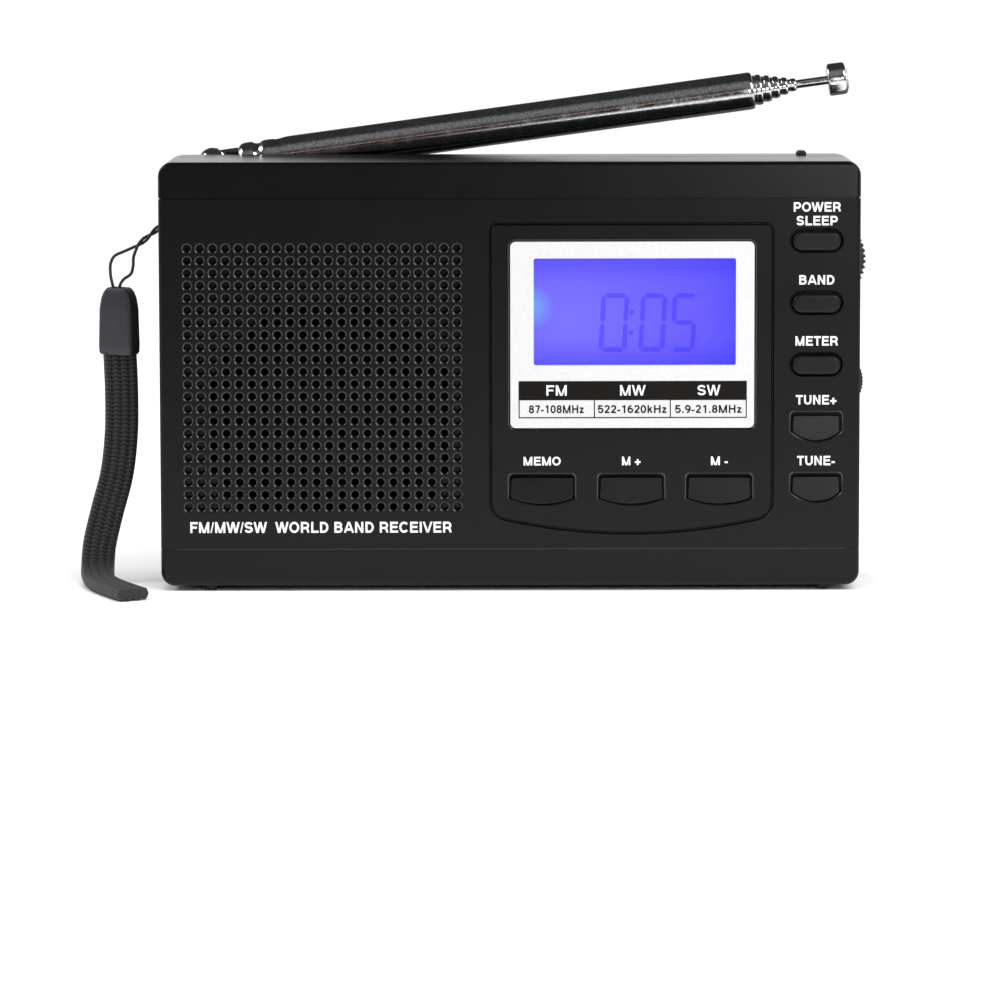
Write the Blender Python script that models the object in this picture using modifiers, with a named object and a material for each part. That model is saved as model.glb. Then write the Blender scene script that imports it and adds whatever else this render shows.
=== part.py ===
"""Pocket shortwave receiver: two-part case, display, keys, loudspeaker, cells, antenna, wrist strap.

Metres, +Z up, front towards -Y. The origin is on the floor below the middle of the case.
Sizes below are in millimetres; heights are counted from the underside of the case.
"""

from math import asin, cos, pi, radians, sin, tau

import bmesh
import bpy
from mathutils import Matrix, Vector

MM = 0.001
FOOT = 0.9  # the case stands this far above the floor
WIDTH, HEIGHT, DEPTH = 120.0, 73.0, 24.0
WALL = 1.8
FRONT_CORNER, BACK_CORNER = 2.3, 4.5  # the case's corners grow rounder towards the back
EASE = 0.6  # the chamfer round the front and back faces
SEAM = -1.0  # where the front and rear shells meet
GAP = 0.3
FRONT, BACK = -DEPTH / 2, DEPTH / 2
LEFT, RIGHT = -WIDTH / 2, WIDTH / 2

SPEAKER = (-30.7, 28.0)
SPEAKER_R = 25.0
SPEAKER_FACE = -9.9
SCREWS = ((-54.5, 6.0), (-54.5, 55.5), (-8.0, 6.0), (41.0, 62.0))
BOSS_R, PILOT_R, HEAD_R = 2.6, 1.1, 2.3
PIVOT = (-51.5, 8.4, 70.9)
ANTENNA_TILT = 7.77
TROUGH_FRONT, TROUGH_FLOOR = 4.8, 66.6
WHEEL = (53.6, -1.0, 55.3)
WHEEL_R, WHEEL_TEETH = 7.8, 50
LOCK_SLOT = (30.6, 40.2)  # lower and upper end of the slot that the lock switch slides in
JACK_Y, EARPHONE_Z, DC_Z = 5.0, 22.0, 34.0
STRAP_HOLE = (3.8, 61.5)
STAND_AXIS = (10.9, 35.0)
COVER_AXIS = (11.25, 5.0)
WINDOW = (0.1, 27.3, 41.85, 59.35)
CELL_Z = (12.6, 28.2)
# name: middle x, top, where the sides end, bottom, width
D_KEYS = {
    "memo_button": (5.5, 19.35, 15.1, 14.0, 11.4),
    "memory_up_button": (20.8, 19.35, 15.1, 14.0, 11.4),
    "memory_down_button": (35.9, 19.35, 15.1, 14.0, 11.4),
    "tune_up_button": (52.5, 30.0, 26.7, 24.9, 8.85),
    "tune_down_button": (52.5, 19.45, 16.2, 14.4, 8.85),
}
# name: middle x, middle height, width, height
ROUND_KEYS = {
    "power_button": (52.5, 59.5, 8.85, 3.9),
    "band_button": (52.5, 48.8, 8.85, 3.9),
    "meter_button": (52.5, 38.2, 8.85, 3.9),
}

for old in list(bpy.data.objects):
    bpy.data.objects.remove(old, do_unlink=True)
scene = bpy.context.scene
radio = bpy.data.collections.new("shortwave_receiver")
cutters = bpy.data.collections.new("cutters")
scene.collection.children.link(radio)
scene.collection.children.link(cutters)
cutters.hide_render = True


def material(name, colour, roughness, metallic=0.0, alpha=1.0):
    made = bpy.data.materials.new(name)
    made.use_nodes = True
    shader = made.node_tree.nodes["Principled BSDF"]
    shader.inputs["Base Color"].default_value = (*colour, 1.0)
    shader.inputs["Roughness"].default_value = roughness
    shader.inputs["Metallic"].default_value = metallic
    shader.inputs["Alpha"].default_value = alpha
    made.diffuse_color = (*colour, alpha)
    return made


CASE = (0.022, 0.022, 0.024), 0.45
KEY = (0.026, 0.026, 0.028), 0.4
CHROME = (0.80, 0.80, 0.82), 0.12, 1.0
STEEL = (0.55, 0.55, 0.56), 0.3, 1.0


def world(point):
    """A point given as x, y and height above the case's underside, in metres above the floor."""
    return Vector((point[0], point[1], point[2] + FOOT)) * MM


def add(name, mesh, look, origin=(0, 0, -FOOT), collection=radio):
    """Makes an object of a mesh whose points are in world metres, with its origin where asked."""
    place = world(origin)
    mesh.transform(Matrix.Translation(-place))
    mesh.name = name
    body = bpy.data.objects.new(name, mesh)
    body.location = place
    collection.objects.link(body)
    if look:
        mesh.materials.append(material(name, *look))
    if collection is cutters:
        body.hide_render = True
        body.display_type = "WIRE"
    return body


def mesh_of(build):
    mesh = bpy.data.meshes.new("mesh")
    build.normal_update()
    bmesh.ops.recalc_face_normals(build, faces=build.faces)
    build.to_mesh(mesh)
    build.free()
    return mesh


def blocks(*boxes):
    """Boxes given by two opposite corners each, in one mesh."""
    build = bmesh.new()
    for low, high in boxes:
        low, high = world(low), world(high)
        bmesh.ops.create_cube(build, matrix=Matrix.LocRotScale((low + high) / 2, None, high - low))
    return mesh_of(build)


def rods(*given, steps=20):
    """Straight round rods, each given by its two ends and its radius at each end, in one mesh."""
    build = bmesh.new()
    for start, end, r0, r1 in given:
        start, end = world(start), world(end)
        turn = (end - start).to_track_quat("Z", "Y")
        bmesh.ops.create_cone(
            build, cap_ends=True, segments=steps, radius1=r0 * MM, radius2=r1 * MM,
            depth=(end - start).length, matrix=Matrix.LocRotScale((start + end) / 2, turn, None),
        )
    return mesh_of(build)


def joined(*meshes):
    """Several meshes that don't touch one another, as one."""
    build = bmesh.new()
    for mesh in meshes:
        build.from_mesh(mesh)
    return mesh_of(build)


def arc(x, z, r, start, end, steps):
    return [
        (x + r * cos(radians(start + (end - start) * i / steps)),
         z + r * sin(radians(start + (end - start) * i / steps)))
        for i in range(steps + 1)
    ]


def round_rect(x0, z0, x1, z1, r, steps=3):
    return (
        arc(x1 - r, z1 - r, r, 0, 90, steps) + arc(x0 + r, z1 - r, r, 90, 180, steps)
        + arc(x0 + r, z0 + r, r, 180, 270, steps) + arc(x1 - r, z0 + r, r, 270, 360, steps)
    )


def circle(x, z, r, steps=20):
    return [(x + r * cos(tau * i / steps), z + r * sin(tau * i / steps)) for i in range(steps)]


def outline(loops, start, end, along="Y"):
    """A flat plate from closed outlines (an inner one is a hole), from start to end along an axis.

    The outlines are x and height for Y, and y and height for X.
    """
    curve = bpy.data.curves.new("outline", "CURVE")
    curve.dimensions = "2D"
    curve.fill_mode = "BOTH"
    curve.extrude = (end - start) / 2 * MM
    for loop in loops:
        spline = curve.splines.new("POLY")
        spline.points.add(len(loop) - 1)
        for point, (u, v) in zip(spline.points, loop):
            point.co = (u * MM, (v + FOOT) * MM, 0, 1)
        spline.use_cyclic_u = True
    helper = bpy.data.objects.new("outline", curve)
    mesh = bpy.data.meshes.new_from_object(helper)
    bpy.data.objects.remove(helper, do_unlink=True)
    middle = (start + end) / 2 * MM
    if along == "Y":
        turn = Matrix(((1, 0, 0), (0, 0, -1), (0, 1, 0))).to_4x4()
        turn = Matrix.Translation((0, middle, 0)) @ turn
    else:
        turn = Matrix(((0, 0, 1), (1, 0, 0), (0, 1, 0))).to_4x4()
        turn = Matrix.Translation((middle, 0, 0)) @ turn
    mesh.transform(turn)
    build = bmesh.new()
    build.from_mesh(mesh)
    bmesh.ops.remove_doubles(build, verts=build.verts, dist=1e-6)
    return mesh_of(build)


def loft(sections):
    """A solid through closed sections of equal point counts, each a list of points in space."""
    build = bmesh.new()
    rings = [[build.verts.new(world(point)) for point in section] for section in sections]
    for first, second in zip(rings, rings[1:]):
        for i in range(len(first)):
            j = (i + 1) % len(first)
            build.faces.new((first[i], first[j], second[j], second[i]))
    build.faces.new(rings[0])
    build.faces.new(rings[-1])
    return mesh_of(build)


def stack(layers):
    """A solid through closed outlines of equal point counts, each with its y."""
    return loft([[(x, y, z) for x, z in shape] for shape, y in layers])


def turned(name, profile, look, location, direction, steps=24, closed=False, parent=None):
    """A turned piece: radius and distance along the axis, running down its outer side."""
    mesh = bpy.data.meshes.new(name)
    count = len(profile)
    edges = [(i, i + 1) for i in range(count - 1)] + ([(count - 1, 0)] if closed else [])
    mesh.from_pydata([(r * MM, 0, h * MM) for r, h in profile], edges, [])
    body = bpy.data.objects.new(name, mesh)
    radio.objects.link(body)
    body.location = location
    body.rotation_mode = "QUATERNION"
    body.rotation_quaternion = Vector(direction).to_track_quat("Z", "Y")
    body.parent = parent
    mesh.materials.append(material(name, *look))
    screw = body.modifiers.new("turn", "SCREW")
    screw.axis = "Z"
    screw.steps = screw.render_steps = steps
    screw.use_merge_vertices = True
    screw.merge_threshold = 0.00001
    return body


def combine(body, operation, mesh, name, parent=None):
    """Adds a mesh to a body, or cuts it from it."""
    tool = add(name, mesh, None, collection=cutters)
    tool.parent = parent
    boolean = body.modifiers.new(name, "BOOLEAN")
    boolean.operation = operation
    boolean.solver = "EXACT"
    boolean.object = tool
    return tool


def d_key(key, inset=0.0):
    """The outline of a key with a straight top and a bowed lower edge."""
    x, top, side, bottom, width = D_KEYS[key]
    half, sag = width / 2, side - bottom
    bow = (half * half + sag * sag) / (2 * sag)
    half, top, corner = half - inset, top - inset, 0.7
    reach = asin(half / (bow - inset)) * 180 / pi
    return (
        arc(x + half - corner, top - corner, corner, 0, 90, 2)
        + arc(x - half + corner, top - corner, corner, 90, 180, 2)
        + arc(x, bottom + bow, bow - inset, 270 - reach, 270 + reach, 8)
    )


def round_key(key, inset=0.0):
    x, z, width, height = ROUND_KEYS[key]
    half, tall = width / 2 - inset, height / 2 - inset
    return round_rect(x - half, z - tall, x + half, z + tall, tall * 0.999, 5)


KEYS = {key: d_key for key in D_KEYS} | {key: round_key for key in ROUND_KEYS}


def case_section(y, inset=0.0):
    """The case's outline at a depth, with that depth."""
    corner = FRONT_CORNER + (BACK_CORNER - FRONT_CORNER) * (y - FRONT) / DEPTH
    return round_rect(LEFT + inset, inset, RIGHT - inset, HEIGHT - inset, corner - inset, 4), y


def case_half(face):
    """One half of the case as a solid, from its front or back face, eased all round, to the seam."""
    eased = face + EASE if face < SEAM else face - EASE
    return stack([case_section(face, EASE), case_section(eased), case_section(SEAM)])


def wheel_slot(y0, y1):
    x, _, z = WHEEL
    return rods(((x, y0, z), (x, y1, z), WHEEL_R + 0.4, WHEEL_R + 0.4), steps=40)


def lock_slot(y0, y1):
    return blocks(((RIGHT - 3, y0, LOCK_SLOT[0]), (RIGHT + 1.5, y1, LOCK_SLOT[1])))


def feet(y0, y1):
    return blocks(*(((x - 0.85, y0, -FOOT), (x + 0.85, y1, 0.4)) for x in (-51.4, 53.9)))


# ---- case -----------------------------------------------------------------------------------------
front_shell = add("front_shell", case_half(FRONT), CASE)
inner = round_rect(LEFT + WALL, WALL, RIGHT - WALL, HEIGHT - WALL, 0.8, 2)
combine(front_shell, "DIFFERENCE", outline([inner], FRONT + WALL, SEAM + 1), "front_hollow")
bosses = [((x, FRONT + WALL - 0.4, z), (x, SEAM - 0.15, z), BOSS_R, BOSS_R) for x, z in SCREWS]
combine(front_shell, "UNION", joined(rods(*bosses, steps=12), feet(-10.5, -1.4)), "front_bosses_feet")
pilots = rods(*(((x, -8.0, z), (x, SEAM + 1, z), PILOT_R, PILOT_R) for x, z in SCREWS), steps=10)
x0, z0, x1, z1 = WINDOW
recess = outline([round_rect(x0 - 0.25, z0 - 0.25, x1 + 0.25, z1 + 0.25, 1.1)], FRONT - 1, -10.9)
key_holes = [outline([shape(key)], FRONT - 1, FRONT + WALL + 0.5) for key, shape in KEYS.items()]
openings = joined(pilots, recess, wheel_slot(-3.5, SEAM + 1.5), lock_slot(-2.5, SEAM + 1.5), *key_holes)
combine(front_shell, "DIFFERENCE", openings, "front_openings")
# Every second hole of the grille, made larger and six-sided.
grille = []
for row in range(11):
    for column in range(12):
        x, z = -55.0 + 4.2 * column, 13.7 + 4.47 * row
        if (x - SPEAKER[0]) ** 2 + (z - SPEAKER[1]) ** 2 < 21.5**2:
            grille.append(((x, FRONT - 1, z), (x, FRONT + WALL + 0.5, z), 1.15, 1.15))
sight = outline([round_rect(4.0, 37.7, 38.8, 56.6, 0.4, 2)], -11.2, -9.5)
combine(front_shell, "DIFFERENCE", joined(rods(*grille, steps=6), sight), "front_grille_sight")

rear_shell = add("rear_shell", case_half(BACK), CASE)
# The hollow steps down at the top rear, below the trough that the antenna lies in.
hollow = [(SEAM - 1, WALL), (BACK - WALL, WALL), (BACK - WALL, TROUGH_FLOOR - 1.6),
          (TROUGH_FRONT - 1.6, TROUGH_FLOOR - 1.6), (TROUGH_FRONT - 1.6, HEIGHT - WALL),
          (SEAM - 1, HEIGHT - WALL)]
combine(rear_shell, "DIFFERENCE", outline([hollow], LEFT + WALL, RIGHT - WALL, "X"), "rear_hollow")
bay = [(-5.5, 2.2), (SEAM, 2.2), (SEAM, 1.0), (11.0, 1.0), (11.0, 38.8), (-5.5, 38.8)]
stand_pad = blocks(((-47.2, 8.2, 2.4), (-14.8, 11.0, 38.0)))
antenna_rest = blocks(((49.5, 2.2, 72.4), (51.3, 4.5, 73.7)))
added = joined(outline([bay], -4.4, 56.3, "X"), stand_pad, antenna_rest, feet(-0.6, 10.5))
combine(rear_shell, "UNION", added, "rear_bay")
posts = rods(*(((x, SEAM + 0.15, z), (x, 10.9, z), BOSS_R, BOSS_R) for x, z in SCREWS), steps=12)
combine(rear_shell, "UNION", posts, "rear_posts")
trough = blocks(((LEFT - 1, TROUGH_FRONT, TROUGH_FLOOR), (RIGHT + 1, BACK + 1, HEIGHT + 2)))
holes = rods(*(((x, SEAM - 1, z), (x, 10.0, z), PILOT_R + 0.1, PILOT_R + 0.1) for x, z in SCREWS), steps=10)
bay_inside = blocks(((-1.5, -4.4, 5.0), (54.5, 10.6, 36.0)))
hinge_hole = rods(((-46.9, *STAND_AXIS), (-15.1, *STAND_AXIS), 1.0, 1.0), steps=10)
swivel_room = rods(((PIVOT[0], PIVOT[1], 58.0), (PIVOT[0], PIVOT[1], 64.9), 3.0, 3.0), steps=16)
side_holes = rods(*(((LEFT - 1, y, z), (LEFT + 3, y, z), r, r) for y, z, r in (
    (JACK_Y, EARPHONE_Z, 2.7), (JACK_Y, DC_Z, 2.3), (*STRAP_HOLE, 1.6))), steps=14)
openings = joined(trough, holes, bay_inside, hinge_hole, swivel_room, side_holes,
                  wheel_slot(SEAM - 1, 1.5), lock_slot(SEAM - 1, 0.5))
combine(rear_shell, "DIFFERENCE", openings, "rear_openings")
heads = rods(*(((x, 9.6, z), (x, BACK + 1, z), HEAD_R, HEAD_R) for x, z in SCREWS), steps=14)
lid_seats = blocks(((-2.9, 10.4, 3.9), (55.9, BACK + 1, 37.3)), ((-45.4, 9.7, 3.6), (-16.6, BACK + 1, 36.4)))
swivel_hole = rods(((PIVOT[0], PIVOT[1], 64.0), (PIVOT[0], PIVOT[1], 68.0), 1.95, 1.95), steps=16)
combine(rear_shell, "DIFFERENCE", joined(heads, lid_seats, swivel_hole), "rear_seats")

for number, (x, z) in enumerate(SCREWS, 1):
    profile = [(0, 0.0), (1.9, 0.0), (1.9, -1.4), (1.0, -1.4), (1.0, -17.0), (0, -17.6)]
    turned(f"case_screw_{number}", profile, STEEL, world((x, 11.1, z)), (0, 1, 0), 10)

# ---- display --------------------------------------------------------------------------------------
add("display_window", outline([round_rect(*WINDOW, 0.9)], -11.9, -11.0), ((0.85, 0.86, 0.88), 0.2))
panel = round_rect(3.4, 37.4, 39.4, 57.4, 0.2, 1)
add("lcd_panel", outline([panel], -10.05, -8.95), ((0.16, 0.13, 1.0), 0.15))
add("lcd_backlight", outline([panel], -8.65, -7.45), ((0.7, 0.72, 0.9), 0.3))
bezel = [round_rect(1.9, 35.9, 40.9, 58.9, 0.6, 2), round_rect(3.1, 37.1, 39.7, 57.7, 0.3, 2)]
add("lcd_holder", outline(bezel, -9.9, -7.15), ((0.6, 0.6, 0.58), 0.5))

# ---- keys, their switches, and the board ----------------------------------------------------------
KEY_BACK, FLANGE_FRONT = -9.5, -10.05
for key, shape in KEYS.items():
    bowed = key in D_KEYS
    x, z = (D_KEYS[key] if bowed else ROUND_KEYS[key])[:2]
    if bowed:
        z -= 2.6
    crown, bevel = (-12.1, 0.2) if bowed else (-12.5, 0.4)
    layers = [(shape(key, -0.6), KEY_BACK), (shape(key, -0.6), FLANGE_FRONT), (shape(key, GAP), FLANGE_FRONT),
              (shape(key, GAP), crown + bevel), (shape(key, GAP + bevel), crown)]
    add(key, stack(layers), KEY, (x, -11.0, z))
    base = [(x + a, z + b) for a, b in ((2.5, -1.9), (2.5, 1.9), (-2.5, 1.9), (-2.5, -1.9))]
    stem = [(x + a, z + b) for a, b in ((1.3, -1.3), (1.3, 1.3), (-1.3, 1.3), (-1.3, -1.3))]
    switch = [(base, -7.1), (base, -8.5), (stem, -8.5), (stem, -8.95)]
    add(key.replace("button", "switch"), stack(switch), ((0.35, 0.34, 0.32), 0.5))
x, z = SCREWS[3]
board = [round_rect(0.5, 3.0, 57.5, 70.0, 0.5, 1), circle(x, z, 3.2, 16)]
add("main_board", outline(board, -6.8, -5.8), ((0.05, 0.22, 0.09), 0.5))
add("tuner_shield", blocks(((6, -5.5, 43), (30, -2.6, 64))), STEEL)
add("control_chip", blocks(((34, -5.5, 42), (44, -4.2, 52))), ((0.02, 0.02, 0.02), 0.6))

# ---- loudspeaker ----------------------------------------------------------------------------------
speaker_face = world((SPEAKER[0], SPEAKER_FACE, SPEAKER[1]))
basket = [(21.6, 0), (12, 7.6), (4.5, 7.6), (4.5, 8.4), (12.5, 8.4), (22, 0.9), (SPEAKER_R, 0.9),
          (SPEAKER_R, 0)]
turned("speaker_frame", basket, STEEL, speaker_face, (0, 1, 0), 28, closed=True)
cone = [(0, 5.9), (6, 5.9), (20.6, 0.7), (20.6, 0.3), (6, 5.2), (0, 4.0)]
turned("speaker_cone", cone, ((0.03, 0.03, 0.03), 0.9), speaker_face, (0, 1, 0), 28)
magnet = [(0, 14.6), (11.5, 14.6), (13, 13.6), (13, 8.7), (0, 8.7)]
turned("speaker_magnet", magnet, ((0.10, 0.10, 0.10), 0.5), speaker_face, (0, 1, 0), 24)

# ---- ferrite aerial, jacks, volume control, lock switch --------------------------------------------
ferrite = [(0, 44), (4, 44), (4, 0), (0, 0)]
turned("ferrite_rod", ferrite, ((0.07, 0.065, 0.06), 0.7), world((-50, -4, 62)), (1, 0, 0), 16)
coil = [(5, 18), (5, 0), (4.3, 0), (4.3, 18)]
turned("ferrite_coil", coil, ((0.45, 0.16, 0.05), 0.4), world((-40, -4, 62)), (1, 0, 0), 16, closed=True)
for name, z, back, nose, bore in (
    ("earphone_jack", EARPHONE_Z, -47, 2.4, 1.8),
    ("dc_jack", DC_Z, -49, 2.0, 1.7),
):
    y = JACK_Y
    jack = add(name, blocks(((-57.9, y - 3, z - 3), (back, y + 3, z + 3))), ((0.03, 0.03, 0.03), 0.5))
    combine(jack, "UNION", rods(((LEFT + 0.3, y, z), (-57.0, y, z), nose, nose), steps=14), name + "_nose")
    drill = rods(((LEFT - 1, y, z), (back - 2, y, z), bore, bore), steps=14)
    combine(jack, "DIFFERENCE", drill, name + "_bore")
pot = [(0, 2.0), (2.0, 2.0), (2.0, -2.5), (4.1, -2.5), (4.1, -4.4), (0, -4.4)]
turned("volume_pot", pot, ((0.12, 0.12, 0.12), 0.5), world(WHEEL), (0, 1, 0), 20)
knurl = [
    (WHEEL[0] + r * cos(pi * i / WHEEL_TEETH), WHEEL[2] + r * sin(pi * i / WHEEL_TEETH))
    for i in range(2 * WHEEL_TEETH) for r in ((WHEEL_R,) if i % 2 else (WHEEL_R - 0.4,))
]
wheel = outline([knurl, circle(WHEEL[0], WHEEL[2], 2.1, 20)], -3.2, 1.2)
add("volume_wheel", wheel, KEY, WHEEL)
slide = [(57.1, 30.2), (57.9, 30.2), (57.9, 31.15), (60.2, 31.15), (60.85, 32.6), (61.1, 34.15),
         (60.85, 35.7), (60.2, 37.15), (57.9, 37.15), (57.9, 38.1), (57.1, 38.1)]
add("lock_switch", outline([slide], -2.2, 0.2), KEY, (60, -1, 34.15))

# ---- cells, their contacts, the cover and the stand -------------------------------------------------
cell = [(0, 50.5), (2.6, 50.5), (2.6, 49.2), (6.6, 49.0), (7.2, 48.4), (7.2, 0), (0, 0)]
CELL = ((0.05, 0.12, 0.35), 0.35)
turned("battery_1", cell, CELL, world((1.4, 3, CELL_Z[0])), (1, 0, 0), 20)
turned("battery_2", cell, CELL, world((52.0, 3, CELL_Z[1])), (-1, 0, 0), 20)
# name: x of the sheet's outer face, the way that it presses, its edges, its bumps, how far they reach
for name, x, way, low, high, bumps, reach in (
    ("contact_bridge", -1.2, 1, 6, 35, CELL_Z, 1.5),
    ("contact_positive", 54.0, -1, 7, 18, CELL_Z[:1], 1.2),
    ("contact_negative", 54.0, -1, 22.5, 34, CELL_Z[1:], 1.5),
):
    near, far = sorted((x, x + 0.4 * way))
    contact = add(name, blocks(((near, -2, low), (far, 8, high))), STEEL)
    cones = [((x + 0.2 * way, 3, z), (x + reach * way, 3, z), 3.2, 1.6) for z in bumps]
    combine(contact, "UNION", rods(*cones, steps=12), name + "_bumps")
lid = [(10.5, 37.0)] + arc(*COVER_AXIS, 0.75, 180, 360, 6) + [(12.0, 37.0)]
add("battery_cover", outline([lid], -2.6, 55.6, "X"), CASE, (26.5, *COVER_AXIS))
stand = add("kick_stand", blocks(((-45.0, 10.0, 4.0), (-17.0, 11.8, 35.0))), CASE, (-31, *STAND_AXIS))
pins = rods(((-46.6, *STAND_AXIS), (-15.4, *STAND_AXIS), 0.88, 0.88), steps=12)
combine(stand, "UNION", pins, "stand_pins")

# ---- antenna ----------------------------------------------------------------------------------------
TONGUE, SLOT = 2.2, 2.6  # how thick the tongue is, and how wide the slot that it turns in
KNUCKLE_R = 2.9
knuckle = [(KNUCKLE_R * sin(radians(a)), 0.3 + KNUCKLE_R * cos(radians(a))) for a in range(0, 91, 18)]
knuckle += [(KNUCKLE_R, -4.0), (1.85, -4.0), (1.85, -6.2), (2.6, -6.2), (2.6, -7.3), (0, -7.3)]
swivel = turned("antenna_swivel", knuckle, CHROME, world(PIVOT), (0, 0, 1), 20)
x, y, z = PIVOT
slot = blocks(((x - 5, y - SLOT / 2, z - 3), (x + 5, y + SLOT / 2, z + 5)))
combine(swivel, "DIFFERENCE", slot, "swivel_slot")
bore = rods(((x, y - 4, z), (x, y + 4, z), 0.9, 0.9), steps=10)
combine(swivel, "DIFFERENCE", bore, "swivel_bore")
turned("antenna_pin", [(0, 2.7), (0.8, 2.7), (0.8, -2.7), (0, -2.7)], STEEL, world(PIVOT), (0, 1, 0), 10)

# The rest of the antenna is modelled along +X from its hinge, and hangs on an empty that tilts it.
pivot = bpy.data.objects.new("antenna_pivot", None)
radio.objects.link(pivot)
pivot.location = world(PIVOT)
pivot.rotation_euler = (0, -radians(ANTENNA_TILT), 0)
ORIGIN = Vector((0, 0, 0))
END = 94.7  # where the base tube ends, from the hinge
STAGE = 1.5  # how far each stage stands out of the one before
tube = [(0, 14.0), (2.88, 14.0), (2.88, END), (2.95, END), (3.3, END - 0.8), (3.3, 11.6), (3.1, 11.3),
        (3.1, 8.4), (2.85, 8.0), (3.1, 7.6), (3.1, 5.2), (2.8, 4.8), (0, 4.8)]
base_tube = turned("antenna_tube", tube, CHROME, ORIGIN, (1, 0, 0), 20, parent=pivot)


def lying_rod(radius, length, steps):
    """A cylinder through the origin, along Y."""
    build = bmesh.new()
    bmesh.ops.create_cone(build, cap_ends=True, segments=steps, radius1=radius * MM, radius2=radius * MM,
                          depth=length * MM, matrix=Matrix.Rotation(pi / 2, 4, "X"))
    return mesh_of(build)


build = bmesh.new()
tongue_size = Vector((4.6, TONGUE, 5.0)) * MM
bmesh.ops.create_cube(build, matrix=Matrix.LocRotScale((3.2 * MM, 0, 0), None, tongue_size))
for operation, mesh, name in (
    ("UNION", mesh_of(build), "tongue"),
    ("UNION", lying_rod(2.2, TONGUE, 16), "tongue_eye"),
    ("DIFFERENCE", lying_rod(0.9, 5, 10), "tongue_hole"),
):
    tool = combine(base_tube, operation, mesh, name, pivot)
    tool.location = ORIGIN
    tool.matrix_parent_inverse.identity()
SECTIONS = (2.7, 2.45), (2.35, 2.05), (1.95, 1.65), (1.55, 1.25), (1.15, 0.85)  # outer and inner radius
for number, (r, hollow) in enumerate(SECTIONS, 2):
    end = END + STAGE * (number - 1)
    section = [(r - 0.3, end), (r, end - 0.5), (r, 15.0), (hollow, 15.0), (hollow, end)]
    turned(f"antenna_section_{number}", section, CHROME, ORIGIN, (1, 0, 0), 16, closed=True, parent=pivot)
TIP_BACK, TIP_END = 107.7, 111.15
rod = [(0, TIP_BACK + 2.3), (0.75, TIP_BACK + 2.3), (0.75, 16.0), (0, 16.0)]
turned("antenna_rod", rod, CHROME, ORIGIN, (1, 0, 0), 12, parent=pivot)
tip = [(0, TIP_END), (1.9, TIP_END), (2.6, TIP_END - 0.35), (2.85, TIP_END - 0.9), (2.85, TIP_BACK + 0.3),
       (2.55, TIP_BACK), (0.87, TIP_BACK), (0.87, TIP_BACK + 2.6), (0, TIP_BACK + 2.6)]
turned("antenna_tip", tip, CHROME, ORIGIN, (1, 0, 0), 20, parent=pivot)

# ---- wrist strap --------------------------------------------------------------------------------------
# One thin cord, doubled through the hole in the side: twisted at first, then open like a loop.
CORD_R = 0.27
LEFT_STRAND = [(-66.6, 2.0, 56.5), (-68.3, 1.8, 55.7), (-69.0, 1.6, 54.3), (-69.0, 1.5, 52.4),
               (-68.7, 1.5, 50.9)]
RIGHT_STRAND = [(-65.0, 2.0, 55.6), (-65.1, 1.8, 54.0), (-65.5, 1.6, 52.6), (-66.6, 1.5, 51.8),
                (-67.3, 1.5, 50.9)]
HOLE, CROSSING = Vector((-58.9, 3.9, 61.9)), Vector((-64.3, 2.2, 57.5))
TURNS, SPREAD, STEPS = 1.25, 0.36, 12
line = CROSSING - HOLE
across = line.cross(Vector((0, 1, 0))).normalized()
over = line.cross(across).normalized()


def strand(start):
    """One of the two strands from the hole to where they part, winding round their middle line."""
    turns = [start + tau * TURNS * i / STEPS for i in range(STEPS + 1)]
    return [HOLE + line * i / STEPS + (across * sin(a) + over * cos(a)) * SPREAD for i, a in enumerate(turns)]


points = [Vector(p) for p in LEFT_STRAND[::-1]] + strand(pi / 2)[::-1] + [HOLE + Vector((0.9, 0, 0))]
points += strand(-pi / 2) + [Vector(p) for p in RIGHT_STRAND]
cord = bpy.data.curves.new("strap_cord", "CURVE")
cord.dimensions = "3D"
cord.bevel_depth = CORD_R * MM
cord.bevel_resolution = 1
cord.use_fill_caps = True
spline = cord.splines.new("POLY")
spline.points.add(len(points) - 1)
for point, place in zip(spline.points, points):
    point.co = (*world(place), 1)
strap = bpy.data.objects.new("strap_cord", cord)
radio.objects.link(strap)
cord.materials.append(material("strap_cord", (0.015, 0.015, 0.015), 0.8))


def flat_oval(half, thick):
    """An eight-sided flat section: its points across the width and through the thickness."""
    return [(half, -thick / 2), (half, thick / 2), (half * 0.65, thick), (-half * 0.65, thick),
            (-half, thick / 2), (-half, -thick / 2), (-half * 0.65, -thick), (half * 0.65, -thick)]


# The slider, from the band up to the cord: height, half its width, half its thickness.
SLIDER = ((38.7, 3.0, 1.6), (39.2, 3.3, 1.9), (47.3, 3.1, 1.9), (49.4, 2.6, 1.6), (50.3, 1.7, 1.1))
sections = [[(x - 67.6, y + 1.5, z) for x, y in flat_oval(half, thick)] for z, half, thick in SLIDER]
add("strap_slider", loft(sections), ((0.03, 0.03, 0.034), 0.35))

# The band hangs to the floor and its end lies there, coming forward.
BAND = [(-67.6, 1.5, 38.3), (-67.3, 1.5, 32.0), (-67.4, 1.3, 25.0), (-68.2, 0.9, 18.0), (-69.9, 0.4, 11.5),
        (-71.2, -0.3, 6.0), (-71.5, -1.8, 2.3), (-71.3, -4.6, 0.7), (-70.4, -9.0, 0.3), (-68.4, -14.5, 0.3),
        (-65.8, -20.0, 0.3), (-64.2, -23.0, 0.3)]
BAND_HALF, BAND_THICK = 2.9, 1.0
sections = []
for i, place in enumerate(BAND):
    along = (Vector(BAND[min(i + 1, len(BAND) - 1)]) - Vector(BAND[max(i - 1, 0)])).normalized()
    # Its width stays level, and square to its run once it lies down.
    level = Vector((1, 0, 0)) if i < 6 else Vector((-along.y, along.x, 0)).normalized()
    side = (level - along * level.dot(along)).normalized()
    face = side.cross(along)
    sections.append([Vector(place) + side * u + face * v for u, v in flat_oval(BAND_HALF, BAND_THICK)])
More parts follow.
